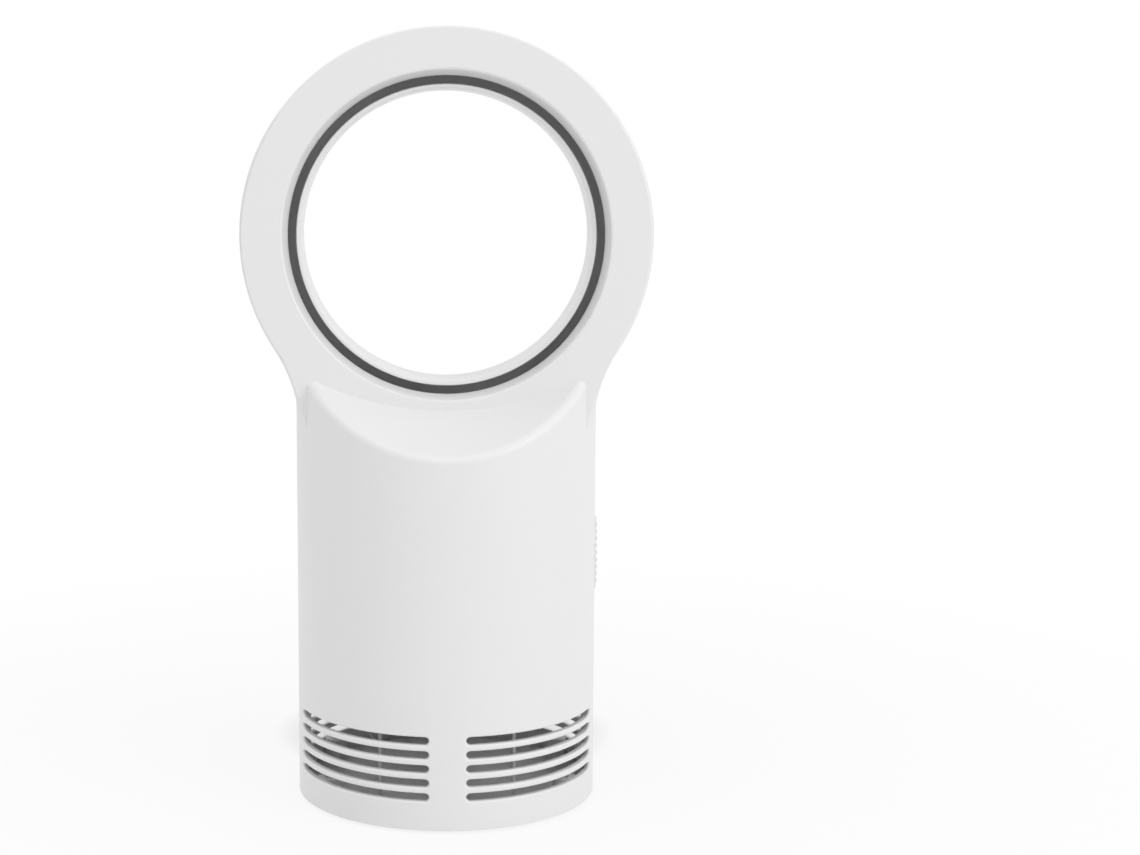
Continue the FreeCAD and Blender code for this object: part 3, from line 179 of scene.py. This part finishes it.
plastics = {
    "white_abs": {"colour": (0.82, 0.82, 0.82), "gloss": (0.34, 0.42), "tone": 0.015, "bump": smoothBump},
    "black_pbt": {"colour": (0.022, 0.022, 0.024), "gloss": (0.42, 0.58), "tone": 0.25, "bump": smoothBump},
    "grey_nylon": {"colour": (0.56, 0.56, 0.55), "gloss": (0.40, 0.55), "tone": 0.08, "bump": smoothBump},
    "foot_rubber": {"colour": (0.035, 0.035, 0.036), "gloss": (0.70, 0.88), "tone": 0.3, "bump": coarseBump},
    "ferrite": {"colour": (0.05, 0.048, 0.047), "gloss": (0.5, 0.7), "tone": 0.3, "bump": coarseBump},
    "board_laminate": {"colour": (0.05, 0.19, 0.07), "gloss": (0.25, 0.4), "tone": 0.2, "bump": smoothBump},
    "ptc_ceramic": {"colour": (0.11, 0.105, 0.10), "gloss": (0.55, 0.75), "tone": 0.2, "bump": coarseBump},
    "thermostat_ceramic": {
        "colour": (0.62, 0.59, 0.53), "gloss": (0.3, 0.45), "tone": 0.1, "bump": smoothBump},
    "plunger_acetal": {"colour": (0.70, 0.70, 0.67), "gloss": (0.28, 0.4), "tone": 0.05, "bump": smoothBump},
    "gland_pvc": {"colour": (0.62, 0.62, 0.61), "gloss": (0.5, 0.64), "tone": 0.06, "bump": coarseBump},
    "wire_silicone": {"colour": (0.60, 0.60, 0.58), "gloss": (0.5, 0.65), "tone": 0.1, "bump": smoothBump},
}
metals = {
    "screw_steel": {"colour": (0.52, 0.52, 0.53), "gloss": (0.24, 0.40), "stretch": (700.0, 700.0, 700.0)},
    "can_steel": {"colour": (0.56, 0.56, 0.55), "gloss": (0.28, 0.42), "stretch": (500.0, 500.0, 40.0)},
    "bronze": {"colour": (0.55, 0.36, 0.17), "gloss": (0.34, 0.50), "stretch": (900.0, 900.0, 900.0)},
    "copper_wire": {"colour": (0.72, 0.30, 0.14), "gloss": (0.25, 0.38), "stretch": (900.0, 900.0, 200.0)},
    "shaft_steel": {"colour": (0.60, 0.60, 0.61), "gloss": (0.14, 0.24), "stretch": (60.0, 60.0, 1500.0)},
    "fin_aluminium": {"colour": (0.72, 0.73, 0.74), "gloss": (0.30, 0.46), "stretch": (60.0, 700.0, 700.0)},
    "tinned_brass": {"colour": (0.66, 0.65, 0.62), "gloss": (0.26, 0.42), "stretch": (300.0, 300.0, 300.0)},
    "spring_steel": {"colour": (0.50, 0.50, 0.50), "gloss": (0.20, 0.34), "stretch": (600.0, 600.0, 600.0)},
}


def makeFinishes():
    made = {}
    for slot, look in plastics.items():
        low, high = look["gloss"]
        values = {"Tone Drift": look["tone"], "Gloss Low": low, "Gloss High": high}
        made[slot] = makeFinish(slot, grainGroup, values, look["colour"], look["bump"])
    for slot, look in metals.items():
        low, high = look["gloss"]
        values = {"Stretch": look["stretch"], "Gloss Low": low, "Gloss High": high}
        made[slot] = makeFinish(slot, drawnGroup, values, look["colour"], metalBump, metallic=1.0)
    return made


finishes = makeFinishes()


def dressNodes():
    for node in nodes.values():
        node.data.materials[0] = finishes[node.data.materials[0].name.split(".")[0]]


dressNodes()
print("finishes:", len(finishes))


# Geometry Nodes helpers

def runTree(name, tree, values, mesh=None):
    # Evaluates a tree on a holder and keeps what it makes as a plain mesh
    holder = bpy.data.objects.new(name, mesh or bpy.data.meshes.new(name))
    bpy.context.scene.collection.objects.link(holder)
    modifier = holder.modifiers.new("shape", "NODES")
    modifier.node_group = tree
    labels = {item.name: item.identifier for item in tree.interface.items_tree if item.in_out == "INPUT"}
    for label, value in values.items():
        modifier[labels[label]] = value
    solid = bpy.data.meshes.new_from_object(holder.evaluated_get(bpy.context.evaluated_depsgraph_get()))
    holder.modifiers.remove(modifier)
    holder.data = solid
    return holder


def closeTree(tree, geometry, finish, output):
    real = addNode(tree, "GeometryNodeRealizeInstances", Geometry=geometry)
    dressed = addNode(tree, "GeometryNodeSetMaterial", Geometry=real.outputs["Geometry"], Material=finish)
    tree.links.new(dressed.outputs["Geometry"], output)


def settle(piece, body, slot, *replaced):
    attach(piece, body)
    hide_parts(*replaced)


weldGap = 0.001 * mm  # corners of a CAD node's loose triangles that are nearer than this are one


def islandBoxes(nodeName):
    # Lowest and highest corner of each separate solid in a CAD node
    shape = bmesh.new()
    shape.from_mesh(nodes[nodeName].data)
    bmesh.ops.remove_doubles(shape, verts=shape.verts, dist=weldGap)
    left, boxes = set(shape.verts), []
    while left:
        island, edge = set(), [left.pop()]
        while edge:
            vert = edge.pop()
            island.add(vert)
            for link in vert.link_edges:
                other = link.other_vert(vert)
                if other in left:
                    left.remove(other)
                    edge.append(other)
        places = [vert.co for vert in island]
        boxes.append((Vector(map(min, zip(*places))), Vector(map(max, zip(*places)))))
    shape.free()
    return boxes


def turnProfile(shape, profile, steps):
    # Turns radius and height pairs about Z; a radius of 0 closes an end with a point
    angles = [2 * math.pi * step / steps for step in range(steps)]
    rings = []
    for radius, height in profile:
        around = angles if radius else angles[:1]
        places = [(radius * math.cos(angle), radius * math.sin(angle), height) for angle in around]
        rings.append([shape.verts.new(place) for place in places])
    for low, high in zip(rings, rings[1:]):
        for step in range(steps):
            after = (step + 1) % steps
            corners = [low[step % len(low)], low[after % len(low)],
                       high[after % len(high)], high[step % len(high)]]
            shape.faces.new(list(dict.fromkeys(corners)))


def meshFrom(name, shape, smooth=True):
    bmesh.ops.recalc_face_normals(shape, faces=shape.faces)
    mesh = bpy.data.meshes.new(name)
    shape.to_mesh(mesh)
    shape.free()
    mesh.polygons.foreach_set("use_smooth", [smooth] * len(mesh.polygons))
    return mesh


# Screws: pan heads with a cross recess and a rolled thread

screwKinds = {
    "housing_screws": {
        "outward": (0, 1, 0), "head": 1.8 * mm, "shank": 1.4 * mm, "pitch": 1.3 * mm, "seed": 3},
    "base_screws": {
        "outward": (0, 0, -1), "head": 1.8 * mm, "shank": 1.4 * mm, "pitch": 1.3 * mm, "seed": 8},
    "motor_screws": {
        "outward": (0, 0, -1), "head": 1.3 * mm, "shank": 1.4 * mm, "pitch": 0.5 * mm, "seed": 5},
    "switch_screws": {
        "outward": (-1, 0, 0), "head": 1.3 * mm, "shank": 0.9 * mm, "pitch": 0.8 * mm, "seed": 2},
}

# Shares of the head's radius and height, from its seat up to its crown
screwHead = {
    "profile": [(0, 0), (0.93, 0), (1, 0.08), (1, 0.45), (0.95, 0.70), (0.84, 0.87), (0.66, 0.97),
                (0.40, 1), (0, 1)],
    "steps": 40,
    "recessTop": {"along": 1.15, "across": 0.24, "height": 1.10},
    "recessFloor": {"along": 0.62, "across": 0.14, "height": 0.38},
}


def makeScrewHead(radius, height):
    shape = bmesh.new()
    profile = [(across * radius, up * height) for across, up in screwHead["profile"]]
    turnProfile(shape, profile, screwHead["steps"])
    head = bpy.data.objects.new("screwHead", meshFrom("screwHead", shape))
    recess = bmesh.new()
    for turn in (0.0, math.pi / 2):
        # each arm of the cross narrows towards its floor
        arm = bmesh.ops.create_cube(recess, size=1.0)["verts"]
        for vert in arm:
            end = screwHead["recessFloor" if vert.co.z < 0 else "recessTop"]
            along = vert.co.x * radius * end["along"]
            across = vert.co.y * radius * end["across"]
            vert.co = Vector((along * math.cos(turn) - across * math.sin(turn),
                              along * math.sin(turn) + across * math.cos(turn), height * end["height"]))
    cross = bpy.data.objects.new("screwRecess", meshFrom("screwRecess", recess, smooth=False))
    for thing in (head, cross):
        bpy.context.scene.collection.objects.link(thing)
    cut = head.modifiers.new("recess", "BOOLEAN")
    cut.object, cut.operation, cut.solver, cut.use_self = cross, "DIFFERENCE", "EXACT", True
    mesh = bpy.data.meshes.new_from_object(head.evaluated_get(bpy.context.evaluated_depsgraph_get()))
    for thing in (head, cross):
        bpy.data.objects.remove(thing)
    return mesh


# Depth and tip are shares of the shank's radius, and point is what is left of it at the end
screwThread = {
    "steps": 18, "rowsInTurn": 6, "fewestRows": 8, "depth": 0.22, "flank": 3.0, "tip": 2.2, "point": 0.25,
}


def makeThread(radius, length, pitch):
    shape = bmesh.new()
    steps, point = screwThread["steps"], screwThread["point"]
    rows = max(screwThread["fewestRows"], round(screwThread["rowsInTurn"] * length / pitch))
    depth, tip = screwThread["depth"] * radius, screwThread["tip"] * radius
    rings = []
    for row in range(rows + 1):
        drop = length * row / rows
        ring = []
        for step in range(steps):
            angle = 2 * math.pi * step / steps
            phase = (drop / pitch + step / steps) % 1.0
            crest = max(0.0, 1.0 - screwThread["flank"] * abs(phase - 0.5))
            taper = min(1.0, point + (1.0 - point) * (length - drop) / tip)
            reach = (radius - depth + depth * crest) * taper
            ring.append(shape.verts.new((reach * math.cos(angle), reach * math.sin(angle), -drop)))
        rings.append(ring)
    for low, high in zip(rings, rings[1:]):
        for step in range(steps):
            after = (step + 1) % steps
            shape.faces.new((low[step], low[after], high[after], high[step]))
    shape.faces.new(rings[0])
    shape.faces.new(rings[-1])
    return meshFrom("screwThread", shape)


def makeScrewTree():
    # One screw on each point, its head looking along Outward and its recess turned at random
    tree, source, sink = newTree(
        "screwSet", "GeometryNodeTree",
        [("Seats", "NodeSocketGeometry", None), ("Head", "NodeSocketObject", None),
         ("Thread", "NodeSocketObject", None), ("Outward", "NodeSocketVector", (0.0, 0.0, 1.0)),
         ("Seed", "NodeSocketInt", 1), ("Finish", "NodeSocketMaterial", None)],
        [("Geometry", "NodeSocketGeometry")])
    screw = tree.nodes.new("GeometryNodeJoinGeometry")
    for label in ("Head", "Thread"):
        shape = addNode(tree, "GeometryNodeObjectInfo", Object=source[label])
        tree.links.new(shape.outputs["Geometry"], screw.inputs["Geometry"])
    facing = addNode(tree, "FunctionNodeAlignRotationToVector", {"axis": "Z"}, Vector=source["Outward"])
    chance = addNode(tree, "FunctionNodeRandomValue", {"data_type": "FLOAT"}, Seed=source["Seed"])
    chance.inputs[3].default_value = 2 * math.pi
    spin = addNode(tree, "FunctionNodeAxisAngleToRotation", Angle=chance.outputs[1])
    turned = addNode(tree, "FunctionNodeRotateRotation", {"rotation_space": "LOCAL"},
                     Rotation=facing.outputs["Rotation"], Rotate_By=spin.outputs["Rotation"])
    placed = addNode(tree, "GeometryNodeInstanceOnPoints", Points=source["Seats"],
                     Instance=screw.outputs["Geometry"], Rotation=turned.outputs["Rotation"])
    closeTree(tree, placed.outputs["Instances"], source["Finish"], sink["Geometry"])
    return tree


def makeScrews():
    tree = makeScrewTree()
    for nodeName, kind in screwKinds.items():
        outward = Vector(kind["outward"])
        seats = []
        for low, high in islandBoxes(nodeName):
            size, middle = high - low, (low + high) / 2
            reach = abs(size.dot(outward))
            radius = (sum(size) - reach) / 4
            seats.append(middle + outward * (reach / 2 - kind["head"]))
        points = bpy.data.meshes.new(nodeName + "Seats")
        points.from_pydata(seats, [], [])
        head = bpy.data.objects.new("headPattern", makeScrewHead(radius, kind["head"]))
        threadMesh = makeThread(kind["shank"], reach - kind["head"], kind["pitch"])
        thread = bpy.data.objects.new("threadPattern", threadMesh)
        screws = runTree(nodeName.replace("_s", "S"), tree, {
            "Head": head, "Thread": thread, "Outward": kind["outward"], "Seed": kind["seed"],
            "Finish": finishes["screw_steel"]}, points)
        for pattern in (head, thread):
            bpy.data.objects.remove(pattern)
        settle(screws, "housing", "screw_steel", nodeName)


makeScrews()
print("screws:", ", ".join(screwKinds))


# Rubber feet with ringed treads

# Bevel is a share of the rim, grooves and width are shares of the radius, and floor is a share of the width
footShape = {
    "rim": 0.5 * mm, "bevel": 0.3, "groove": 0.45 * mm, "grooves": (0.34, 0.52, 0.70), "width": 0.07,
    "floor": 0.6, "steps": 48,
}


def makeFootPattern(radius, height):
    rim, groove, floor = footShape["rim"], footShape["groove"], footShape["floor"]
    bevel = footShape["bevel"] * rim
    profile = [(0, 0.0)]
    for share in footShape["grooves"]:
        for edge, depth in ((-1.0, 0.0), (-floor, groove), (floor, groove), (1.0, 0.0)):
            profile.append((radius * (share + edge * footShape["width"]), depth))
    profile += [(radius - rim, 0.0), (radius - bevel, bevel), (radius, rim), (radius, height - rim),
                (radius - bevel, height - bevel), (radius - rim, height), (0, height)]
    shape = bmesh.new()
    turnProfile(shape, profile, footShape["steps"])
    return meshFrom("footPattern", shape, smooth=False)


def makeFeetTree():
    tree, source, sink = newTree(
        "footSet", "GeometryNodeTree",
        [("Seats", "NodeSocketGeometry", None), ("Foot", "NodeSocketObject", None),
         ("Finish", "NodeSocketMaterial", None)],
        [("Geometry", "NodeSocketGeometry")])
    foot = addNode(tree, "GeometryNodeObjectInfo", Object=source["Foot"])
    placed = addNode(tree, "GeometryNodeInstanceOnPoints", Points=source["Seats"],
                     Instance=foot.outputs["Geometry"])
    closeTree(tree, placed.outputs["Instances"], source["Finish"], sink["Geometry"])
    return tree


def makeFeet():
    boxes = islandBoxes("rubber_feet")
    low, high = boxes[0]
    pattern = bpy.data.objects.new("footPattern", makeFootPattern((high.x - low.x) / 2, high.z - low.z))
    points = bpy.data.meshes.new("footSeats")
    points.from_pydata([((a.x + b.x) / 2, (a.y + b.y) / 2, a.z) for a, b in boxes], [], [])
    feet = runTree("rubberFeet", makeFeetTree(), {"Foot": pattern, "Finish": finishes["foot_rubber"]}, points)
    bpy.data.objects.remove(pattern)
    settle(feet, "housing", "foot_rubber", "rubber_feet")


makeFeet()
print("feet: ringed treads")


# Motor windings: turns of enamelled wire about each pole

windingShape = {
    "poles": 5, "turns": 10, "layers": 3, "wire": 0.22 * mm, "pitch": 0.49 * mm, "start": 5.6 * mm,
    "web": (3.2 * mm, 15.0 * mm), "slack": 0.30 * mm, "corner": 0.8 * mm, "middle": 84.0 * mm,
    "nest": 0.9, "stagger": 0.5,  # how a layer lies on the one below, as shares of the pitch
    "wireSides": 6, "cornerSteps": 4,
}


def makeWindingTree():
    tree, source, sink = newTree(
        "poleWindings", "GeometryNodeTree",
        [("Poles", "NodeSocketInt", 5), ("Turns", "NodeSocketInt", 10), ("Wire", "NodeSocketFloat", 0.2 * mm),
         ("Pitch", "NodeSocketFloat", 0.5 * mm), ("Start", "NodeSocketFloat", 5.0 * mm),
         ("Web Width", "NodeSocketFloat", 3.0 * mm), ("Web Length", "NodeSocketFloat", 15.0 * mm),
         ("Slack", "NodeSocketFloat", 0.3 * mm), ("Corner", "NodeSocketFloat", 0.8 * mm),
         ("Middle", "NodeSocketFloat", 84.0 * mm), ("Finish", "NodeSocketMaterial", None)],
        [("Geometry", "NodeSocketGeometry")])
    wire = addNode(tree, "GeometryNodeCurvePrimitiveCircle", Resolution=windingShape["wireSides"],
                   Radius=source["Wire"])
    step = addNode(tree, "ShaderNodeCombineXYZ", X=source["Pitch"])
    pole = tree.nodes.new("GeometryNodeJoinGeometry")
    for layer in range(windingShape["layers"]):
        raised = mathNode(tree, "MULTIPLY", source["Pitch"], windingShape["nest"] * layer)
        spare = mathNode(tree, "MULTIPLY", mathNode(tree, "ADD", source["Slack"], raised), 2.0)
        loop = addNode(tree, "GeometryNodeCurvePrimitiveQuadrilateral",
                       Width=mathNode(tree, "ADD", source["Web Width"], spare),
                       Height=mathNode(tree, "ADD", source["Web Length"], spare))
        bent = addNode(tree, "GeometryNodeFilletCurve", {"mode": "POLY"}, Curve=loop.outputs["Curve"],
                       Radius=source["Corner"], Count=windingShape["cornerSteps"])
        tube = addNode(tree, "GeometryNodeCurveToMesh", Curve=bent.outputs["Curve"],
                       Profile_Curve=wire.outputs["Curve"])
        stood = addNode(tree, "GeometryNodeTransform", Geometry=tube.outputs["Mesh"],
                        Rotation=(math.pi / 2, 0.0, math.pi / 2))
        moved = mathNode(tree, "MULTIPLY", source["Pitch"], windingShape["stagger"] * (layer % 2))
        first = mathNode(tree, "ADD", source["Start"], moved)
        begin = addNode(tree, "ShaderNodeCombineXYZ", X=first, Z=source["Middle"])
        row = addNode(tree, "GeometryNodeMeshLine", Count=source["Turns"],
                      Start_Location=begin.outputs["Vector"], Offset=step.outputs["Vector"])
        turns = addNode(tree, "GeometryNodeInstanceOnPoints", Points=row.outputs["Mesh"],
                        Instance=stood.outputs["Geometry"])
        tree.links.new(turns.outputs["Instances"], pole.inputs["Geometry"])
    hub = addNode(tree, "GeometryNodePoints", Count=source["Poles"])
    share = mathNode(tree, "DIVIDE", 2 * math.pi, source["Poles"])
    turn = mathNode(tree, "MULTIPLY", tree.nodes.new("GeometryNodeInputIndex").outputs["Index"], share)
    facing = addNode(tree, "ShaderNodeCombineXYZ", Z=turn)
    spread = addNode(tree, "GeometryNodeInstanceOnPoints", Points=hub.outputs[0],
                     Instance=pole.outputs["Geometry"], Rotation=facing.outputs["Vector"])
    closeTree(tree, spread.outputs["Instances"], source["Finish"], sink["Geometry"])
    return tree


def makeWindings():
    width, length = windingShape["web"]
    windings = runTree("motorWindings", makeWindingTree(), {
        "Poles": windingShape["poles"], "Turns": windingShape["turns"], "Wire": windingShape["wire"],
        "Pitch": windingShape["pitch"], "Start": windingShape["start"], "Web Width": width,
        "Web Length": length, "Slack": windingShape["slack"], "Corner": windingShape["corner"],
        "Middle": windingShape["middle"], "Finish": finishes["copper_wire"]})
    settle(windings, "rotor", "copper_wire", "motor_windings")


makeWindings()
print("windings:", windingShape["turns"] * windingShape["layers"], "turns on each pole")


# Spring of the tip-over plunger, stretched between the sleeve's roof and the plunger's collar

springShape = {"radius": 3.3 * mm, "wire": 0.25 * mm, "turns": 6.0, "steps": 40, "wireSides": 10}


def makeSpringTree():
    tree, source, sink = newTree(
        "coilSpring", "GeometryNodeTree",
        [("Radius", "NodeSocketFloat", 3.0 * mm), ("Wire", "NodeSocketFloat", 0.25 * mm),
         ("Turns", "NodeSocketFloat", 6.0), ("Rise", "NodeSocketFloat", 8.0 * mm),
         ("Foot", "NodeSocketFloat", 12.0 * mm), ("Steps", "NodeSocketInt", 32),
         ("Finish", "NodeSocketMaterial", None)],
        [("Geometry", "NodeSocketGeometry")])
    helix = addNode(tree, "GeometryNodeCurveSpiral", Resolution=source["Steps"], Rotations=source["Turns"],
                    Start_Radius=source["Radius"], End_Radius=source["Radius"], Height=source["Rise"])
    wire = addNode(tree, "GeometryNodeCurvePrimitiveCircle", Resolution=springShape["wireSides"],
                   Radius=source["Wire"])
    tube = addNode(tree, "GeometryNodeCurveToMesh", Curve=helix.outputs["Curve"],
                   Profile_Curve=wire.outputs["Curve"], Fill_Caps=True)
    lift = addNode(tree, "ShaderNodeCombineXYZ", Z=source["Foot"])
    stood = addNode(tree, "GeometryNodeTransform", Geometry=tube.outputs["Mesh"],
                    Translation=lift.outputs["Vector"])
    closeTree(tree, stood.outputs["Geometry"], source["Finish"], sink["Geometry"])
    return tree


def makeSpring():
    low, high = (corner[2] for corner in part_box("tip_over_spring"))
    wire = springShape["wire"]
    spring = runTree("tipOverSpring", makeSpringTree(), {
        "Radius": springShape["radius"], "Wire": wire, "Turns": springShape["turns"],
        "Steps": springShape["steps"], "Rise": high - low - 2 * wire, "Foot": low + wire,
        "Finish": finishes["spring_steel"]})
    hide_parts("tip_over_spring")
    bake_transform(spring)


makeSpring()
print("spring:", springShape["turns"], "turns")


# Leads inside the casing, each a smooth line through its route in millimetres

leadShape = {"radius": 0.9 * mm, "smooth": 10, "round": 3, "order": 3}
leadRoutes = {
    "supply": [(-3, 36, 8.4), (-3, 23, 8.4), (0, 23, 33.1), (0, 6.2, 33.1)],
    "toSwitch": [(0, 0, 34.7), (0, 0, 41), (18.5, 31.5, 41), (31.5, 38, 41), (31.5, 38, 45), (31.5, 38, 73.4),
                 (45.3, 23, 86.4), (45.3, 10, 86.4)],
    "toHeater": [(45.3, 10, 102.4), (45.3, 23, 102.4), (31.5, 38, 115.4), (31.5, 38, 145.5),
                 (31.5, 7.1, 140.8), (31.5, 7.1, 134.3), (25.7, 7.1, 134.3)],
    "return": [(3, 36, 8.4), (3, 23, 8.4), (-31.5, 23, 8.4), (-31.5, 38, 21.4), (-31.5, 38, 42),
               (-31.5, 38, 138), (-31.5, 38, 145.5), (-31.5, 7.1, 140.8), (-31.5, 7.1, 134.3),
               (-25.7, 7.1, 134.3)],
}


def makeLeads():
    line = bpy.data.curves.new("leads", "CURVE")
    line.dimensions = "3D"
    line.bevel_depth = leadShape["radius"]
    line.bevel_resolution = leadShape["round"]
    line.use_fill_caps = True
    for route in leadRoutes.values():
        spline = line.splines.new("NURBS")
        spline.points.add(len(route) - 1)
        for point, place in zip(spline.points, route):
            point.co = (*(step * mm for step in place), 1.0)
        spline.order_u = leadShape["order"]
        spline.use_endpoint_u = True
        spline.resolution_u = leadShape["smooth"]
        spline.use_smooth = True
    drawn = bpy.data.objects.new("leadLine", line)
    bpy.context.scene.collection.objects.link(drawn)
    mesh = bpy.data.meshes.new_from_object(drawn.evaluated_get(bpy.context.evaluated_depsgraph_get()))
    bpy.data.objects.remove(drawn)
    mesh.materials.clear()
    mesh.materials.append(finishes["wire_silicone"])
    leads = bpy.data.objects.new("leads", mesh)
    bpy.context.scene.collection.objects.link(leads)
    settle(leads, "housing", "wire_silicone", "wiring")


makeLeads()
print("leads:", len(leadRoutes))


# Studio: camera, floor, backdrop and lights

view = {
    "place": (-6.65 * mm, -739.2 * mm, 236.7 * mm),
    "pitch": math.radians(90 - 6.47),
    "turn": -0.009,
    "lens": 59.42,
    "sensor": 36.0,
    "shift": (0.1086, -0.016),
}


def makeCamera():
    data = bpy.data.cameras.new("camera")
    data.lens = view["lens"]
    data.sensor_width = view["sensor"]
    data.shift_x, data.shift_y = view["shift"]
    camera = bpy.data.objects.new("camera", data)
    camera.location = view["place"]
    camera.rotation_euler = (view["pitch"], 0.0, view["turn"])
    bpy.context.scene.collection.objects.link(camera)
    bpy.context.scene.camera = camera


def seenWhite(tree):
    # 1 where the camera, a reflection or a refraction looks straight at the backdrop
    path = tree.nodes.new("ShaderNodeLightPath").outputs
    total = mathNode(tree, "ADD", path["Is Camera Ray"], path["Is Glossy Ray"])
    return mathNode(tree, "MINIMUM", mathNode(tree, "ADD", total, path["Is Transmission Ray"]), 1.0)


studio = {"fill": 0.82, "target": (0.0, 0.0, 0.16)}
floorLook = {
    "half": 4.0, "level": -0.1 * mm, "colour": (0.80, 0.80, 0.80), "roughness": 0.9,
    "whiten": 0.84, "fade": (0.10, 0.42),
    "shade": 0.25, "shadeRange": (0.056, 0.076), "shadeMiddle": (0.0, 0.08, 0.0),
}
lamps = {
    "keyLamp": {"place": (2.2, -1.6, 1.34), "size": 1.8, "power": 20.0},
    "topLamp": {"place": (-0.4, -0.6, 2.44), "size": 1.8, "power": 6.4},
}


def makeWorld():
    world = bpy.data.worlds.new("studio")
    bpy.context.scene.world = world
    world.use_nodes = True
    tree = world.node_tree
    background = tree.nodes["Background"]
    background.inputs["Color"].default_value = (1.0, 1.0, 1.0, 1.0)
    level = rangeNode(tree, seenWhite(tree), 0.0, 1.0, studio["fill"], 1.0)
    tree.links.new(level, background.inputs["Strength"])


def makeFloor():
    half, level = floorLook["half"], floorLook["level"]
    corners = [(x * half, y * half, level) for x, y in ((-1, -1), (1, -1), (1, 1), (-1, 1))]
    mesh = bpy.data.meshes.new("floor")
    mesh.from_pydata(corners, [], [(0, 1, 2, 3)])
    floor = bpy.data.objects.new("floor", mesh)
    bpy.context.scene.collection.objects.link(floor)
    material = bpy.data.materials.new("floorWhite")
    material.use_nodes = True
    tree = material.node_tree
    shader = tree.nodes["Principled BSDF"]
    shader.inputs["Base Color"].default_value = (*floorLook["colour"], 1.0)
    shader.inputs["Roughness"].default_value = floorLook["roughness"]
    shader.inputs["Specular IOR Level"].default_value = 0.0
    glow = tree.nodes.new("ShaderNodeEmission")
    blend = tree.nodes.new("ShaderNodeMixShader")
    # the shadow behind the foot keeps its depth, and the rest of the floor fades to white
    away = addNode(tree, "ShaderNodeVectorMath", {"operation": "DISTANCE"})
    tree.links.new(tree.nodes.new("ShaderNodeTexCoord").outputs["Object"], away.inputs[0])
    away.inputs[1].default_value = floorLook["shadeMiddle"]
    whiten, distance = floorLook["whiten"], away.outputs["Value"]
    near = rangeNode(tree, distance, *floorLook["shadeRange"], floorLook["shade"], whiten)
    far = rangeNode(tree, distance, *floorLook["fade"], 0.0, 1.0 - whiten)
    whitened = mathNode(tree, "MULTIPLY", mathNode(tree, "ADD", near, far), seenWhite(tree))
    tree.links.new(whitened, blend.inputs["Fac"])
    tree.links.new(shader.outputs["BSDF"], blend.inputs[1])
    tree.links.new(glow.outputs["Emission"], blend.inputs[2])
    # clear from underneath, so that the foot can be looked at
    below = tree.nodes.new("ShaderNodeMixShader")
    tree.links.new(tree.nodes.new("ShaderNodeNewGeometry").outputs["Backfacing"], below.inputs["Fac"])
    tree.links.new(blend.outputs["Shader"], below.inputs[1])
    tree.links.new(tree.nodes.new("ShaderNodeBsdfTransparent").outputs["BSDF"], below.inputs[2])
    tree.links.new(below.outputs["Shader"], tree.nodes["Material Output"].inputs["Surface"])
    mesh.materials.append(material)


def makeLamp(name, place, size, power):
    data = bpy.data.lights.new(name, "AREA")
    data.shape = "DISK"
    data.size = size
    data.energy = power
    lamp = bpy.data.objects.new(name, data)
    lamp.location = place
    lamp.rotation_euler = (Vector(studio["target"]) - Vector(place)).to_track_quat("-Z", "Y").to_euler()
    bpy.context.scene.collection.objects.link(lamp)


makeCamera()
makeWorld()
makeFloor()
for lampName, lamp in lamps.items():
    makeLamp(lampName, lamp["place"], lamp["size"], lamp["power"])
bpy.context.scene.view_settings.view_transform = "Standard"
print("studio: camera, floor and", len(lamps), "lamps")
